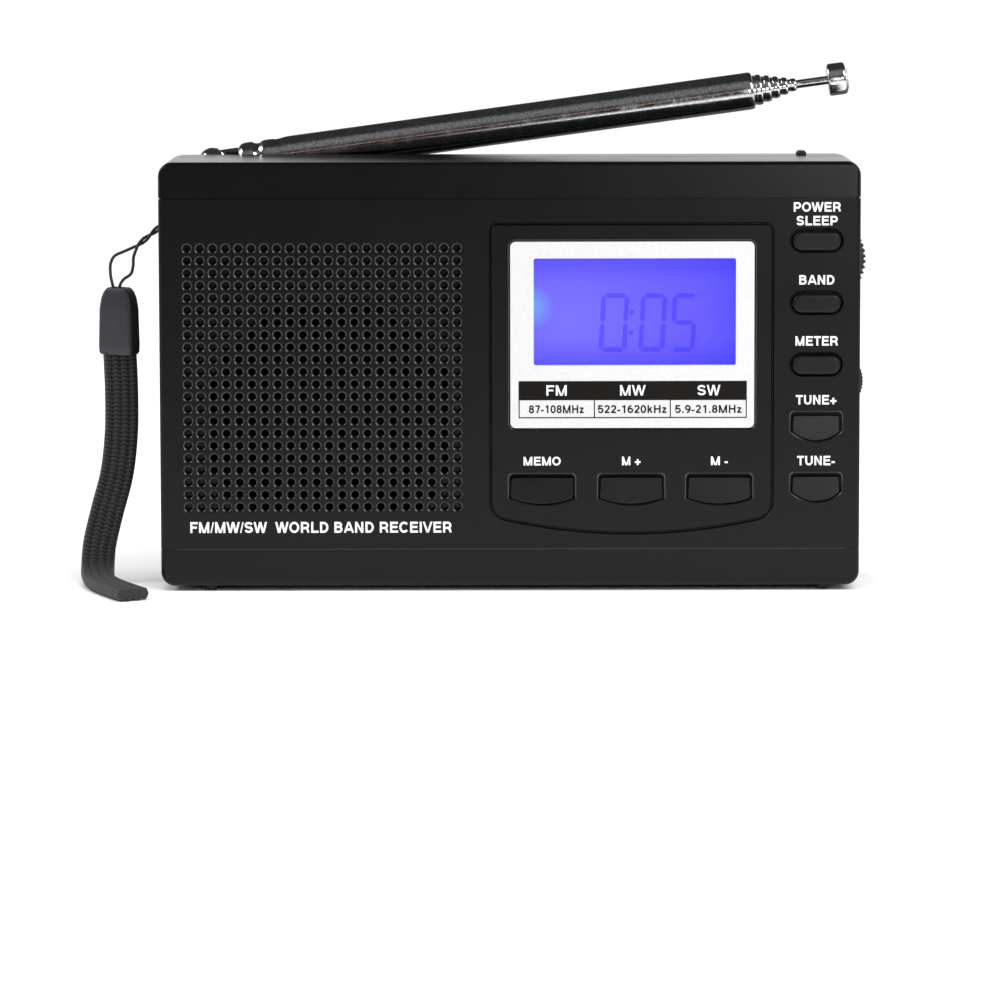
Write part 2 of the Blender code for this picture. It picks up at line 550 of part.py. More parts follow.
add("strap_band", loft(sections), ((0.015, 0.015, 0.016), 0.85))
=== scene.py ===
"""Looks of the pocket shortwave receiver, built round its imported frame.

Sizes are in millimetres in the case's own terms: x to the right, y to the rear, and height above the
underside of the case. world() turns such a point into metres.
"""

from math import asin, atan2, cos, degrees, hypot, pi, radians, sin, sqrt, tau

import bmesh
import bpy
from mathutils import Matrix, Vector

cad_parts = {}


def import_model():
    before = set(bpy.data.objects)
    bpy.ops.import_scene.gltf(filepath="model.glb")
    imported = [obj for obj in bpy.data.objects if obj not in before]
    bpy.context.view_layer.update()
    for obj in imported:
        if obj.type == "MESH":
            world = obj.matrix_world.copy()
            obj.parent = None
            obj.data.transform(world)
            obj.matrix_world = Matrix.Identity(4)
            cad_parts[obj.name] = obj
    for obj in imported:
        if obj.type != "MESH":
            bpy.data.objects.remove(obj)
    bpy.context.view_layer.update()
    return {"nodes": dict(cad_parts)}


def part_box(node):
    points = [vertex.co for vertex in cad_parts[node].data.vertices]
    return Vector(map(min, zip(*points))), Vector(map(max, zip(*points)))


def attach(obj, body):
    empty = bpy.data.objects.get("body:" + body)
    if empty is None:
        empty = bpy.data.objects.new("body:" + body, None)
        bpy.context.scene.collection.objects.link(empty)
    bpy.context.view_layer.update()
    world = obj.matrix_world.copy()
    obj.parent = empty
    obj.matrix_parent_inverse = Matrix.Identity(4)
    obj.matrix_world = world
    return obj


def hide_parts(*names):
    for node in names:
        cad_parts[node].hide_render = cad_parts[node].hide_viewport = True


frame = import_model()

MM = 0.001
FOOT = 0.9  # how far the foot ribs hold the case off the floor


def edges(node):
    """A node's box in the case's terms: its least x, y and height, then its greatest."""
    low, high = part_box(node)
    return low.x / MM, low.y / MM, low.z / MM - FOOT, high.x / MM, high.y / MM, high.z / MM - FOOT


LEFT, FRONT, _, RIGHT, SEAM, TOP = edges("front_shell")
BACK = edges("rear_shell")[4]
WALL = 1.8
FRONT_CORNER, BACK_CORNER = 2.3, 4.5  # the case's corners grow rounder towards the back


def world(point):
    return Vector((point[0], point[1], point[2] + FOOT)) * MM


def middle(node):
    box = edges(node)
    return (Vector(box[:3]) + Vector(box[3:])) / 2


# ---- camera, floor and light ------------------------------------------------------------------------
DISTANCE = 1100.0
ELEVATION = 6.75
FOCAL = 231.0
AIM_BELOW = 1.12  # degrees that the camera looks below the middle of the case
AIM_LEFT = 1.63
ROLL = 0.11
FLOOR_FRONT, FLOOR_BACK, FLOOR_SIDE = -0.8, 9.0, 9.0
# How bright the floor is in reflections, by its place from front to back in metres: brightest round the object.
FLOOR_SHEEN = ((-0.80, 0.10), (-0.56, 0.16), (-0.35, 0.34), (-0.22, 0.72), (-0.05, 1.05), (0.0, 1.05),
               (0.02, 0.08), (0.17, 0.08), (0.30, 0.60))


def shown(name, data):
    """A new object in the scene."""
    made = bpy.data.objects.new(name, data)
    bpy.context.scene.collection.objects.link(made)
    return made


def make_camera():
    data = bpy.data.cameras.new("camera")
    data.sensor_width = 36.0
    data.lens = FOCAL
    data.clip_start = 0.05
    data.clip_end = 50.0
    camera = shown("camera", data)
    lift = radians(ELEVATION)
    place = Vector((-AIM_LEFT, FRONT, TOP / 2)) + Vector((0, -cos(lift), sin(lift))) * DISTANCE
    turn = Matrix.Rotation(radians(90 - ELEVATION - AIM_BELOW), 4, "X") @ Matrix.Rotation(-radians(ROLL), 4, "Z")
    camera.matrix_world = Matrix.Translation(world(place)) @ turn
    bpy.context.scene.camera = camera


def soft_box(name, place, target, size, power):
    data = bpy.data.lights.new(name, "AREA")
    data.shape = "RECTANGLE"
    data.size, data.size_y = size
    data.energy = power
    lamp = shown(name, data)
    lamp.location = place
    lamp.rotation_euler = (Vector(target) - Vector(place)).to_track_quat("-Z", "Y").to_euler()
    lamp.visible_camera = False


def sun_light(name, elevation, azimuth, strength, spread):
    """A far soft light in front of the object, at an angle above the floor and to the right of the camera."""
    data = bpy.data.lights.new(name, "SUN")
    data.energy = strength
    data.angle = radians(spread)
    lamp = shown(name, data)
    lamp.rotation_euler = (radians(90 - elevation), 0, radians(azimuth))
    lamp.visible_glossy = False


def make_studio():
    mesh = bpy.data.meshes.new("floor")
    corners = [(x, y, 0) for x, y in ((-FLOOR_SIDE, FLOOR_FRONT), (FLOOR_SIDE, FLOOR_FRONT),
                                      (FLOOR_SIDE, FLOOR_BACK), (-FLOOR_SIDE, FLOOR_BACK))]
    mesh.from_pydata(corners, [], [(0, 1, 2, 3)])
    look = Look("floor", (0.93, 0.93, 0.93), 0.9, specular=0.1)
    _, y, _ = look.axes(look.coordinates("Object"))
    start, end = FLOOR_FRONT, FLOOR_SHEEN[-1][0]
    stops = [((at - start) / (end - start), (shade * 0.93,) * 3) for at, shade in FLOOR_SHEEN]
    sheen = look.coloured(look.ranged(y, 0, 1, start, end), stops)
    in_gloss = look.new("LightPath").outputs["Is Glossy Ray"]
    look.set("Base Color", look.mixed(in_gloss, (0.97, 0.97, 0.97, 1), sheen))
    mesh.materials.append(look.mat)
    shown("floor", mesh)
    make_world()
    sun_light("sky_light", 68, 20, 1.9, 60)
    soft_box("right_box", (0.42, -0.30, 0.40), (0.02, 0, 0.05), (0.22, 0.30), 1.5)
    soft_box("near_box", (0.11, -0.34, 0.11), (0.02, 0, 0.05), (0.05, 0.05), 0.20)
    soft_box("left_box", (-0.55, -0.05, 0.50), (0, 0, 0.04), (0.25, 0.25), 1.6)


def make_world():
    """White all round to the eye, and a pale grey light on what it falls on.

    In reflections: bright walls behind and beside, a dark room in front and above, and one thin copper line.
    """
    back = bpy.data.worlds.new("studio")
    back.use_nodes = True
    bpy.context.scene.world = back
    sky = Shading(back.node_tree)
    _, y, z = sky.axes(sky.coordinates("Generated"))

    def step(value, start, end):
        return sky.ranged(value, 0, 1, start, end, "SMOOTHSTEP")

    walls = sky.product(step(y, -0.5, 0.1), step(z, 0.60, 0.25), 1.45)
    front_above = sky.product(step(y, -0.25, -0.6), step(z, 0.22, 0.62), 0.16)
    line = sky.product(step(z, 0.160, 0.172), step(z, 0.208, 0.196), step(y, -0.8, -0.95), 0.8)
    room = sky.total(walls, front_above, 0.035)
    colour = sky.new("CombineXYZ")
    for slot, share in zip(colour.inputs, (1.0, 0.55, 0.38)):
        sky.feed(slot, sky.total(room, sky.product(line, share)))
    ray = sky.new("LightPath").outputs
    lit = sky.mixed(ray["Is Glossy Ray"], (0.50, 0.50, 0.50, 1), colour.outputs[0])
    seen = sky.mixed(ray["Is Camera Ray"], lit, (1, 1, 1, 1))
    sky.feed(back.node_tree.nodes["Background"].inputs["Color"], seen)


# ---- materials --------------------------------------------------------------------------------------
class Shading:
    """A node tree in the making: each method adds nodes, and most give back an output."""

    def __init__(self, tree):
        self.tree = tree

    def new(self, kind, **settings):
        node = self.tree.nodes.new("ShaderNode" + kind)
        for name, value in settings.items():
            setattr(node, name, value)
        return node

    def feed(self, slot, value):
        """Link an output to an input, or set the input to a constant."""
        if isinstance(value, bpy.types.NodeSocket):
            self.tree.links.new(value, slot)
        else:
            slot.default_value = value

    def made(self, node, output, **given):
        """A node's output after its inputs are fed; an underscore in a name stands for a space."""
        for name, value in given.items():
            self.feed(node.inputs[name.replace("_", " ")], value)
        return node.outputs[output]

    def coordinates(self, kind):
        return self.new("TexCoord").outputs[kind]

    def place(self):
        """Coordinates on the piece itself, in millimetres."""
        return self.made(self.new("Mapping"), "Vector", Vector=self.coordinates("Object"), Scale=(1 / MM,) * 3)

    def axes(self, vector):
        return self.made(self.new("SeparateXYZ"), 0, Vector=vector).node.outputs

    def noise(self, scale, detail=3.0, rough=0.5):
        return self.made(self.new("TexNoise"), "Fac", Vector=self.place(), Scale=scale, Detail=detail, Roughness=rough)

    def ranged(self, value, low, high, start=0.0, end=1.0, kind="LINEAR"):
        return self.made(self.new("MapRange", interpolation_type=kind), "Result", Value=value,
                         From_Min=start, From_Max=end, To_Min=low, To_Max=high)

    def coloured(self, value, stops):
        ramp = self.new("ValToRGB")
        marks = ramp.color_ramp.elements
        for mark, (position, colour) in zip(marks, (stops[0], stops[-1])):
            mark.position, mark.color = position, (*colour, 1)
        for position, colour in stops[1:-1]:
            marks.new(position).color = (*colour, 1)
        return self.made(ramp, "Color", Fac=value)

    def maths(self, kind, *values):
        step = self.new("Math", operation=kind)
        for slot, value in zip(step.inputs, values):
            self.feed(slot, value)
        return step.outputs[0]

    def product(self, first, *others):
        for value in others:
            first = self.maths("MULTIPLY", first, value)
        return first

    def total(self, first, *others):
        for value in others:
            first = self.maths("ADD", first, value)
        return first

    def length(self, across, up):
        return self.maths("SQRT", self.total(self.product(across, across), self.product(up, up)))

    def mixed(self, share, first, second, blend="MIX"):
        mix = self.new("Mix", data_type="RGBA", blend_type=blend)
        for slot, value in ((0, share), (6, first), (7, second)):
            self.feed(mix.inputs[slot], value)
        return mix.outputs[2]


class Look(Shading):
    """A material with one Principled shader."""

    def __init__(self, name, colour, roughness, metallic=0.0, specular=0.5):
        self.mat = bpy.data.materials.new(name)
        self.mat.use_nodes = True
        self.mat.diffuse_color = (*colour, 1)
        super().__init__(self.mat.node_tree)
        self.shader = self.tree.nodes["Principled BSDF"]
        self.set("Base Color", (*colour, 1))
        self.set("Roughness", roughness)
        self.set("Metallic", metallic)
        self.set("Specular IOR Level", specular)

    def set(self, name, value):
        self.feed(self.shader.inputs[name], value)

    def bumped(self, height, strength, depth):
        bump = self.made(self.new("Bump"), "Normal", Height=height, Strength=strength, Distance=depth * MM)
        self.set("Normal", bump)


def toned(colour, share):
    return tuple(c * share for c in colour)


def plastic(name, colour, roughness, grain=5.0, depth=0.012, specular=0.35, spread=0.06, lips=None):
    """Moulded plastic: fine spark-eroded texture, slightly uneven gloss and tone."""
    look = Look(name, colour, roughness, specular=specular)
    cloud = look.noise(0.09, 4.0)
    look.set("Roughness", look.ranged(cloud, roughness - spread, roughness + spread, 0.3, 0.7))
    fine = look.noise(grain, 2.0, 0.6)
    look.set("Base Color", look.coloured(fine, [(0.3, toned(colour, 0.82)), (0.7, toned(colour, 1.18))]))
    look.bumped(fine, 0.5, depth)
    if lips:
        look.set("Specular IOR Level", look.ranged(polished_lips(look), specular, lips))
    return look.mat


LIP_DEPTHS = (0.01, 0.3)  # below the front face
LIP_FIELD = (57.0, 7.0, 65.0)  # half of its width, and its lower and upper edges


def polished_lips(look):
    """One on the lips of holes, grooves and openings: what lies just below the front face, inside its edges."""
    x, y, z = look.axes(look.place())
    first, last = (FRONT + depth for depth in LIP_DEPTHS)
    half, low, high = LIP_FIELD
    return look.product(
        look.ranged(y, 0, 1, first, first + 0.01), look.ranged(y, 1, 0, last, last + 0.05),
        look.ranged(look.maths("ABSOLUTE", x), 1, 0, half, half + 0.5),
        look.ranged(z, 0, 1, low, low + 0.5), look.ranged(z, 1, 0, high, high + 0.5),
    )


def ink(name, colour, roughness=0.5, specular=0.5):
    """Pad-printed ink, a little uneven in cover."""
    look = Look(name, colour, roughness, specular=specular)
    cover = look.noise(3.0)
    look.set("Base Color", look.coloured(cover, [(0.2, toned(colour, 0.9)), (0.6, colour)]))
    look.bumped(cover, 0.15, 0.01)
    return look.mat


def chrome(name, wear=1.0, dull=(0.60, 0.60, 0.61)):
    """Bright plating: nearly a mirror, with handling haze and fine scuffs."""
    look = Look(name, (0.78, 0.78, 0.80), 0.1, 1.0)
    look.set("Roughness", look.ranged(look.noise(0.5, 5.0, 0.65), 0.05, 0.05 + 0.2 * wear, 0.35, 0.75))
    look.set("Base Color", look.coloured(look.noise(2.2, 4.0, 0.7), [(0.3, dull), (0.65, (0.88, 0.88, 0.90))]))
    look.bumped(look.noise(4.0, 3.0, 0.6), 0.25, 0.02 * wear)
    return look.mat


def steel(name, colour=(0.55, 0.55, 0.56), roughness=0.32):
    look = Look(name, colour, roughness, 1.0)
    brushed = look.noise(6.0, 4.0)
    look.set("Roughness", look.ranged(brushed, roughness - 0.1, roughness + 0.15))
    look.set("Base Color", look.coloured(brushed, [(0.25, toned(colour, 0.75)), (0.75, colour)]))
    look.bumped(brushed, 0.2, 0.02)
    return look.mat


def nylon_band():
    """Braided nylon: plaits along the band, each of small slanted stitches, with a soft sheen."""
    look = Look("nylon_band", (0.012, 0.012, 0.013), 0.75, specular=0.35)
    look.set("Sheen Weight", 0.12)
    look.set("Sheen Roughness", 0.45)
    # Across runs 0 to 1 over each plait and along is in millimetres; the stitches slant to each plait's middle.
    across, along, _ = look.axes(look.coordinates("UV"))
    slant = look.total(look.product(along, 1.35), look.product(look.maths("PINGPONG", across, 0.5), 0.9))
    stitch = look.maths("SINE", look.product(slant, tau))
    ridge = look.maths("MULTIPLY_ADD", stitch, 0.5, 0.5)
    height = look.total(ridge, look.product(look.noise(9.0), 0.35))
    # The colour follows the stitches' height: painted shade in the hollows between stitches, painted highlight on their
    # crowns.
    stops = [(0.15, (0.004, 0.004, 0.005)), (0.9, (0.030, 0.030, 0.032))]
    look.set("Base Color", look.coloured(height, stops))
    look.bumped(height, 0.8, 0.16)
    return look.mat


def nylon_cord():
    look = Look("nylon_cord", (0.02, 0.02, 0.022), 0.65)
    look.set("Sheen Weight", 0.15)
    wave = look.made(look.new("TexWave", bands_direction="DIAGONAL"), "Fac", Vector=look.place(), Scale=1.1,
                     Distortion=0.6)
    # The colour follows the twist's ridges: painted shade in the grooves between strands, painted highlight on the
    # strands.
    look.set("Base Color", look.coloured(wave, [(0.2, (0.006, 0.006, 0.007)), (0.8, (0.035, 0.035, 0.04))]))
    look.bumped(wave, 0.6, 0.05)
    return look.mat


def lcd(name, tint):
    """The lit panel: blue-violet, paler left of the middle, deeper to the right and the top, cyan at the lamp."""
    look = Look(name, (0.02, 0.015, 0.2), 0.25, specular=0.2)
    low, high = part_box("lcd_panel")
    x, _, z = look.axes(look.coordinates("Object"))
    across, up = look.ranged(x, 0, 1, low.x, high.x), look.ranged(z, 0, 1, low.z, high.z)
    # Distance from the pale middle, flattened so that the glow reaches along the panel, and made a little uneven.
    far = look.length(look.total(across, -0.18), look.product(look.total(up, -0.42), 0.75))
    far = look.total(far, look.product(look.total(look.noise(0.12, 2.0), -0.5), 0.12))
    base = look.coloured(far, [(0.0, (0.205, 0.180, 1.0)), (0.35, (0.165, 0.130, 1.0)),
                               (0.62, (0.135, 0.100, 1.0)), (0.86, (0.080, 0.070, 1.0))])
    near = look.length(look.product(across, 1.7), look.total(up, -0.53))
    lamp = look.mixed(look.ranged(near, 0.85, 0.0, 0.02, 0.2), base, (0.16, 0.52, 1.0, 1))
    # The red and green fall off towards the upper and lower edges.
    fall = look.ranged(look.maths("ABSOLUTE", look.total(up, -0.5)), 1.0, 0.62, 0.24, 0.47)
    shade = look.new("CombineXYZ")
    for slot, value in zip(shade.inputs, (fall, fall, 1.0)):
        look.feed(slot, value)
    glow = look.mixed(1.0, lamp, shade.outputs[0], "MULTIPLY")
    look.set("Emission Color", look.mixed(1.0, glow, (*tint, 1), "MULTIPLY"))
    look.set("Emission Strength", 0.95)
    return look.mat


def lens():
    """The window's clear part: only a faint gloss over what is behind it."""
    look = Look("window_lens", (0.05, 0.05, 0.10), 0.05)
    look.set("Roughness", look.ranged(look.noise(0.8, 2.0), 0.03, 0.08))
    look.set("Alpha", 0.06)
    return look.mat


def solder_mask():
    look = Look("solder_mask", (0.03, 0.16, 0.06), 0.35)
    turned_place = look.made(look.new("Mapping"), "Vector", Vector=look.place(), Rotation=(pi / 2, 0, 0))
    tracks = look.new("TexBrick")
    tone = look.made(tracks, "Color", Vector=turned_place, Scale=0.35, Mortar_Size=0.06, Color1=(0.02, 0.11, 0.04, 1),
                     Color2=(0.03, 0.16, 0.06, 1), Mortar=(0.10, 0.30, 0.10, 1))
    look.set("Base Color", tone)
    look.bumped(tracks.outputs["Fac"], 0.3, 0.05)
    return look.mat


def banded(name, stops, axis, spacing, roughness, metallic=0.0):
    """A turned or wound surface: fine rings at the given spacing along an axis (0 x, 1 y, 2 z)."""
    look = Look(name, stops[0][1], roughness, metallic)
    ring = look.maths("SINE", look.product(look.axes(look.place())[axis], tau / spacing))
    height = look.total(look.product(look.ranged(ring, 0, 1, -1, 1), 0.6), look.product(look.noise(0.7), 0.4))
    # The colour follows the rings' height: painted shade in the grooves between rings, painted highlight on their
    # crests.
    look.set("Base Color", look.coloured(height, stops))
    look.bumped(height, 0.5, 0.05)
    return look.mat


def cell_sleeve(node, way):
    """A plain wrapped cell: dark blue sleeve, silver towards the positive end, bare metal at both ends."""
    look = Look(f"{node}_sleeve", (0.03, 0.08, 0.3), 0.3)
    low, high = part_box(node)[::way]
    along = look.ranged(look.axes(look.coordinates("Object"))[0], 0, 1, low.x, high.x)
    blue = (0.02, 0.05, 0.22)
    look.set("Base Color", look.coloured(along, [(0.02, (0.6, 0.6, 0.6)), (0.03, blue), (0.70, blue),
                                                 (0.71, (0.55, 0.56, 0.6)), (0.97, (0.6, 0.6, 0.62))]))
    look.set("Roughness", look.ranged(look.noise(0.6), 0.2, 0.4))
    look.set("Metallic", look.ranged(along, 0.2, 0.9, 0.70, 0.72))
    return look.mat


BLACK = {"colour": (0.0026, 0.0026, 0.0029), "roughness": 0.30, "specular": 0.24, "spread": 0.02}
CASE = plastic("case_plastic", **BLACK)
FRONT_CASE = plastic("front_plastic", **BLACK, lips=1.0)
KEY = plastic("key_plastic", (0.0035, 0.0035, 0.0038), 0.36, grain=7.0, depth=0.006, specular=0.28)
SOFT_KEY = plastic("wheel_plastic", (0.020, 0.020, 0.021), 0.5, grain=3.0, depth=0.02)
SLIDER = plastic("slider_plastic", (0.030, 0.030, 0.036), 0.34, grain=4.0, depth=0.006)
WHITE_INK = ink("white_ink", (0.86, 0.87, 0.88))
PRINT_WHITE = ink("window_print", (0.655, 0.655, 0.665), 0.22)
PRINT_BLACK = ink("window_black", (0.006, 0.005, 0.004), 0.3, specular=0.15)
CHROME = chrome("chrome")
TUBE_CHROME = chrome("tube_chrome", 1.1, (0.40, 0.41, 0.46))
STEEL = steel("zinc_steel")
BAND = nylon_band()
CORD = nylon_cord()


# ---- mesh helpers -----------------------------------------------------------------------------------
QUARTER = [radians(15 * i) for i in range(7)]  # the angles of a quarter turn


def mesh_of(build, outward=True):
    """The mesh of a finished build, its faces turned outward unless they are to stay as they are."""
    mesh = bpy.data.meshes.new("mesh")
    if outward:
        bmesh.ops.recalc_face_normals(build, faces=build.faces)
    build.to_mesh(mesh)
    build.free()
    return mesh


def skinned(build, rings, closed=False, caps=True):
    """Faces between each ring of points and the next; the last joins the first if closed, or caps close the ends."""
    for first, second in zip(rings, rings[1:] + (rings[:1] if closed else [])):
        for i in range(len(first)):
            j = (i + 1) % len(first)
            build.faces.new((first[i], first[j], second[j], second[i]))
    if caps and not closed:
        build.faces.new(rings[0])
        build.faces.new(rings[-1])


def bend(x, z, rx, rz, start, end, steps=10):
    """Points on an arc of an ellipse, between two angles in degrees."""
    angles = [radians(start + (end - start) * i / steps) for i in range(steps + 1)]
    return [(x + rx * cos(a), z + rz * sin(a)) for a in angles]


def arc(x, z, r, start, end, steps):
    return bend(x, z, r, r, start, end, steps)


def round_rect(x0, z0, x1, z1, r, steps=6):
    return (
        arc(x1 - r, z1 - r, r, 0, 90, steps) + arc(x0 + r, z1 - r, r, 90, 180, steps)
        + arc(x0 + r, z0 + r, r, 180, 270, steps) + arc(x1 - r, z0 + r, r, 270, 360, steps)
    )


def blocks(*boxes):
    build = bmesh.new()
    for low, high in boxes:
        low, high = world(low), world(high)
        bmesh.ops.create_cube(build, matrix=Matrix.LocRotScale((low + high) / 2, None, high - low))
    return mesh_of(build)


def rods(*given, steps=32):
    """Straight rods, each given by its two ends and its radius, or its radius at each end."""
    build = bmesh.new()
    for start, end, *radii in given:
        start, end = world(start), world(end)
        turn = (end - start).to_track_quat("Z", "Y")
        bmesh.ops.create_cone(
            build, cap_ends=True, segments=steps, radius1=radii[0] * MM, radius2=radii[-1] * MM,
            depth=(end - start).length, matrix=Matrix.LocRotScale((start + end) / 2, turn, None),
        )
    return mesh_of(build)


def pegs(places, y0, y1, *radii, steps=32):
    """Rods from front to back at each place."""
    return rods(*(((p.x, y0, p.z), (p.x, y1, p.z), *radii) for p in places), steps=steps)


def joined(*meshes, outward=True):
    build = bmesh.new()
    for mesh in meshes:
        build.from_mesh(mesh)
    return mesh_of(build, outward)


def stack(layers, ring=False):
    """A solid through closed outlines of equal point counts, each with its place from front to back.

    With ring set, the last outline joins the first, which makes a closed band such as a groove's cutter.
    """
    build = bmesh.new()
    rings = []
    for loop, far in layers:
        rings.append([build.verts.new(world((u, far, v))) for u, v in loop])
    skinned(build, rings, closed=ring)
    return mesh_of(build)


def prism(loop, start, end):
    return stack([(loop, start), (loop, end)])


def turned(profile, matrix, steps=48, closed=False):
    """A turned solid: radius and distance along the local z axis. If closed is set, its profile is a loop."""
    build = bmesh.new()
    rings = []
    for r, h in profile:
        if r < 1e-6:
            rings.append([build.verts.new(Vector((0, 0, h)) * MM)])
        else:
            rings.append([build.verts.new(Vector((r * cos(tau * i / steps), r * sin(tau * i / steps), h)) * MM)
                          for i in range(steps)])
    for first, second in zip(rings, rings[1:] + (rings[:1] if closed else [])):
        for i in range(steps):
            j = (i + 1) % steps
            corners = [ring[k % len(ring)] for ring, k in ((first, i), (first, j), (second, j), (second, i))]
            corners = list(dict.fromkeys(corners))
            if len(corners) > 2:
                build.faces.new(corners)
    mesh = mesh_of(build)
    mesh.transform(matrix)
    return mesh


def pointing(place, direction):
    """The matrix that takes the local z axis to a direction, at a place given in the case's terms."""
    return Matrix.LocRotScale(world(place), Vector(direction).to_track_quat("Z", "Y"), None)


def plate(loops, start, end, along="Y"):
    """A flat plate from closed outlines, an inner one being a hole, between two places along an axis."""
    curve = bpy.data.curves.new("plate", "CURVE")
    curve.dimensions = "2D"
    curve.fill_mode = "BOTH"
    curve.extrude = (end - start) / 2 * MM
    for loop in loops:
        spline = curve.splines.new("POLY")
        spline.points.add(len(loop) - 1)
        for point, (u, v) in zip(spline.points, loop):
            point.co = (u * MM, (v + FOOT) * MM, 0, 1)
        spline.use_cyclic_u = True
    helper = bpy.data.objects.new("plate", curve)
    mesh = bpy.data.meshes.new_from_object(helper)
    bpy.data.objects.remove(helper, do_unlink=True)
    middle_of = (start + end) / 2 * MM
    if along == "Y":
        turn, shift = Matrix(((1, 0, 0), (0, 0, -1), (0, 1, 0))), (0, middle_of, 0)
    else:
        turn, shift = Matrix(((0, 0, 1), (1, 0, 0), (0, 1, 0))), (middle_of, 0, 0)
    mesh.transform(Matrix.Translation(shift) @ turn.to_4x4())
    build = bmesh.new()
    build.from_mesh(mesh)
    bmesh.ops.remove_doubles(build, verts=build.verts, dist=1e-6)
    return mesh_of(build)


CUT, ADD = "DIFFERENCE", "UNION"


def carved(mesh, *steps):
    """The mesh after each (operation, tool mesh) in turn."""
    helpers = [shown("carving", data) for data in (mesh, *(tool for _, tool in steps))]
    body = helpers[0]
    for (operation, _), helper in zip(steps, helpers[1:]):
        change = body.modifiers.new(operation, "BOOLEAN")
        change.operation = operation
        change.solver = "EXACT"
        change.object = helper
    bpy.context.view_layer.update()
    graph = bpy.context.evaluated_depsgraph_get()
    result = bpy.data.meshes.new_from_object(body.evaluated_get(graph))
    for helper in helpers:
        bpy.data.objects.remove(helper, do_unlink=True)
    return result


def piece(name, mesh, look, body, replaces=None, smooth=32):
    """Shows a mesh as a piece that rides on a body, with soft shading up to the given angle."""
    mesh.name = name
    made = shown(name, mesh)
    mesh.materials.clear()
    mesh.materials.append(look)
    soften(made, smooth)
    if replaces:
        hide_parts(replaces)
    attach(made, body)
    return made


def soften(made, angle):
    mesh = made.data
    build = bmesh.new()
    build.from_mesh(mesh)
    for face in build.faces:
        face.smooth = True
    for edge in build.edges:
        if len(edge.link_faces) == 2:
            edge.smooth = edge.calc_face_angle() < radians(angle)
    build.to_mesh(mesh)
    build.free()
    weighted = made.modifiers.new("flat_faces", "WEIGHTED_NORMAL")
    weighted.keep_sharp = True
    weighted.weight = 80


# ---- outlines of the keys and of the panel round the display ------------------------------------------
D_KEYS = {"memo_button": 1.1, "memory_up_button": 1.1, "memory_down_button": 1.1,
          "tune_up_button": 1.8, "tune_down_button": 1.8}
ROUND_KEYS = ("power_button", "band_button", "meter_button")
KEYS = (*D_KEYS, *ROUND_KEYS)
KEY_FLANGE = 0.6
KEY_LEAN = 0.7  # how much further back a bowed key's top is than its lower edge


def key_box(key):
    """The opening round a key: its left, lower, right and upper edges."""
    x0, _, z0, x1, _, z1 = edges(key)
    return x0 + KEY_FLANGE, z0 + KEY_FLANGE, x1 - KEY_FLANGE, z1 - KEY_FLANGE


def key_outline(key, inset=0.0, top=None, bottom=None):
    """A key's outline, inset at its sides, and at its top and its lower edge by other amounts if given."""
    x0, z0, x1, z1 = key_box(key)
    top = inset if top is None else top
    bottom = inset if bottom is None else bottom
    if key in ROUND_KEYS:
        tall = (z1 - z0 - top - bottom) / 2
        return round_rect(x0 + inset, z0 + bottom, x1 - inset, z1 - top, tall * 0.999, 10)
    half, sag, x = (x1 - x0) / 2, D_KEYS[key], (x0 + x1) / 2
    bow = (half * half + sag * sag) / (2 * sag)
    reach = degrees(asin((half - inset) / (bow - bottom)))
    corner = max(0.7 - inset * 0.5, 0.2)
    return (
        arc(x1 - inset - corner, z1 - top - corner, corner, 0, 90, 5)
        + arc(x0 + inset + corner, z1 - top - corner, corner, 90, 180, 5)
        + arc(x, z0 + bow, bow - bottom, 270 - reach, 270 + reach, 16)
    )


POD = (-3.3, 62.4, 45.0, 9.1)  # left, top, right, and lowest point of the bowed lower edge
POD_SAG, POD_CORNER, POD_TOP_CORNER = 3.0, 3.0, 1.15


def pod_outline(inset=0.0):
    x0, top, x1, low = POD
    x = (x0 + x1) / 2
    half = (x1 - x0) / 2
    bow = (half * half + POD_SAG * POD_SAG) / (2 * POD_SAG)
    centre = low + bow
    reach = half - POD_CORNER
    drop = sqrt((bow - POD_CORNER) ** 2 - reach**2)
    lean = degrees(atan2(reach, drop))
    r, small = POD_CORNER - inset, POD_TOP_CORNER - inset
    return (
        arc(x1 - POD_TOP_CORNER, top - POD_TOP_CORNER, small, 0, 90, 6)
        + arc(x0 + POD_TOP_CORNER, top - POD_TOP_CORNER, small, 90, 180, 6)
        + arc(x0 + POD_CORNER, centre - drop, r, 180, 270 - lean, 6)
        + arc(x, centre, bow - inset, 270 - lean, 270 + lean, 24)[1:-1]
        + arc(x1 - POD_CORNER, centre - drop, r, 270 + lean, 360, 6)
    )


def case_outline(y, inset=0.0):
    corner = FRONT_CORNER + (BACK_CORNER - FRONT_CORNER) * (y - FRONT) / (BACK - FRONT)
    return round_rect(LEFT + inset, inset, RIGHT - inset, TOP - inset, max(corner - inset, 0.3), 10)


def rounded_half(face, seam, radius, inset=0.0):
    """Half of the case: its outer edge at `face` is rounded, and it is stepped in slightly at the seam."""
    way = 1 if seam > face else -1
    layers = []
    for a in QUARTER:
        y = face + way * (inset + radius * (1 - cos(a)))
        layers.append((case_outline(y, inset + radius * (1 - sin(a))), y))
    for y, step in ((seam - way * 0.16, 0.0), (seam - way * 0.02, 0.14)):
        layers.append((case_outline(y, inset + step), y))
    return stack(layers)


FEET = (-51.4, 53.9)
FOOT_HALF, FOOT_ROUND = 0.85, 0.35


def feet(y0, y1):
    shapes = []
    for x in FEET:
        inner, low = FOOT_HALF - FOOT_ROUND, -FOOT + FOOT_ROUND
        profile = [(x - FOOT_HALF, 0.4), *arc(x - inner, low, FOOT_ROUND, 180, 270, 3),
                   *arc(x + inner, low, FOOT_ROUND, 270, 360, 3), (x + FOOT_HALF, 0.4)]
        shapes.append(prism(profile, y0, y1))
    return joined(*shapes)


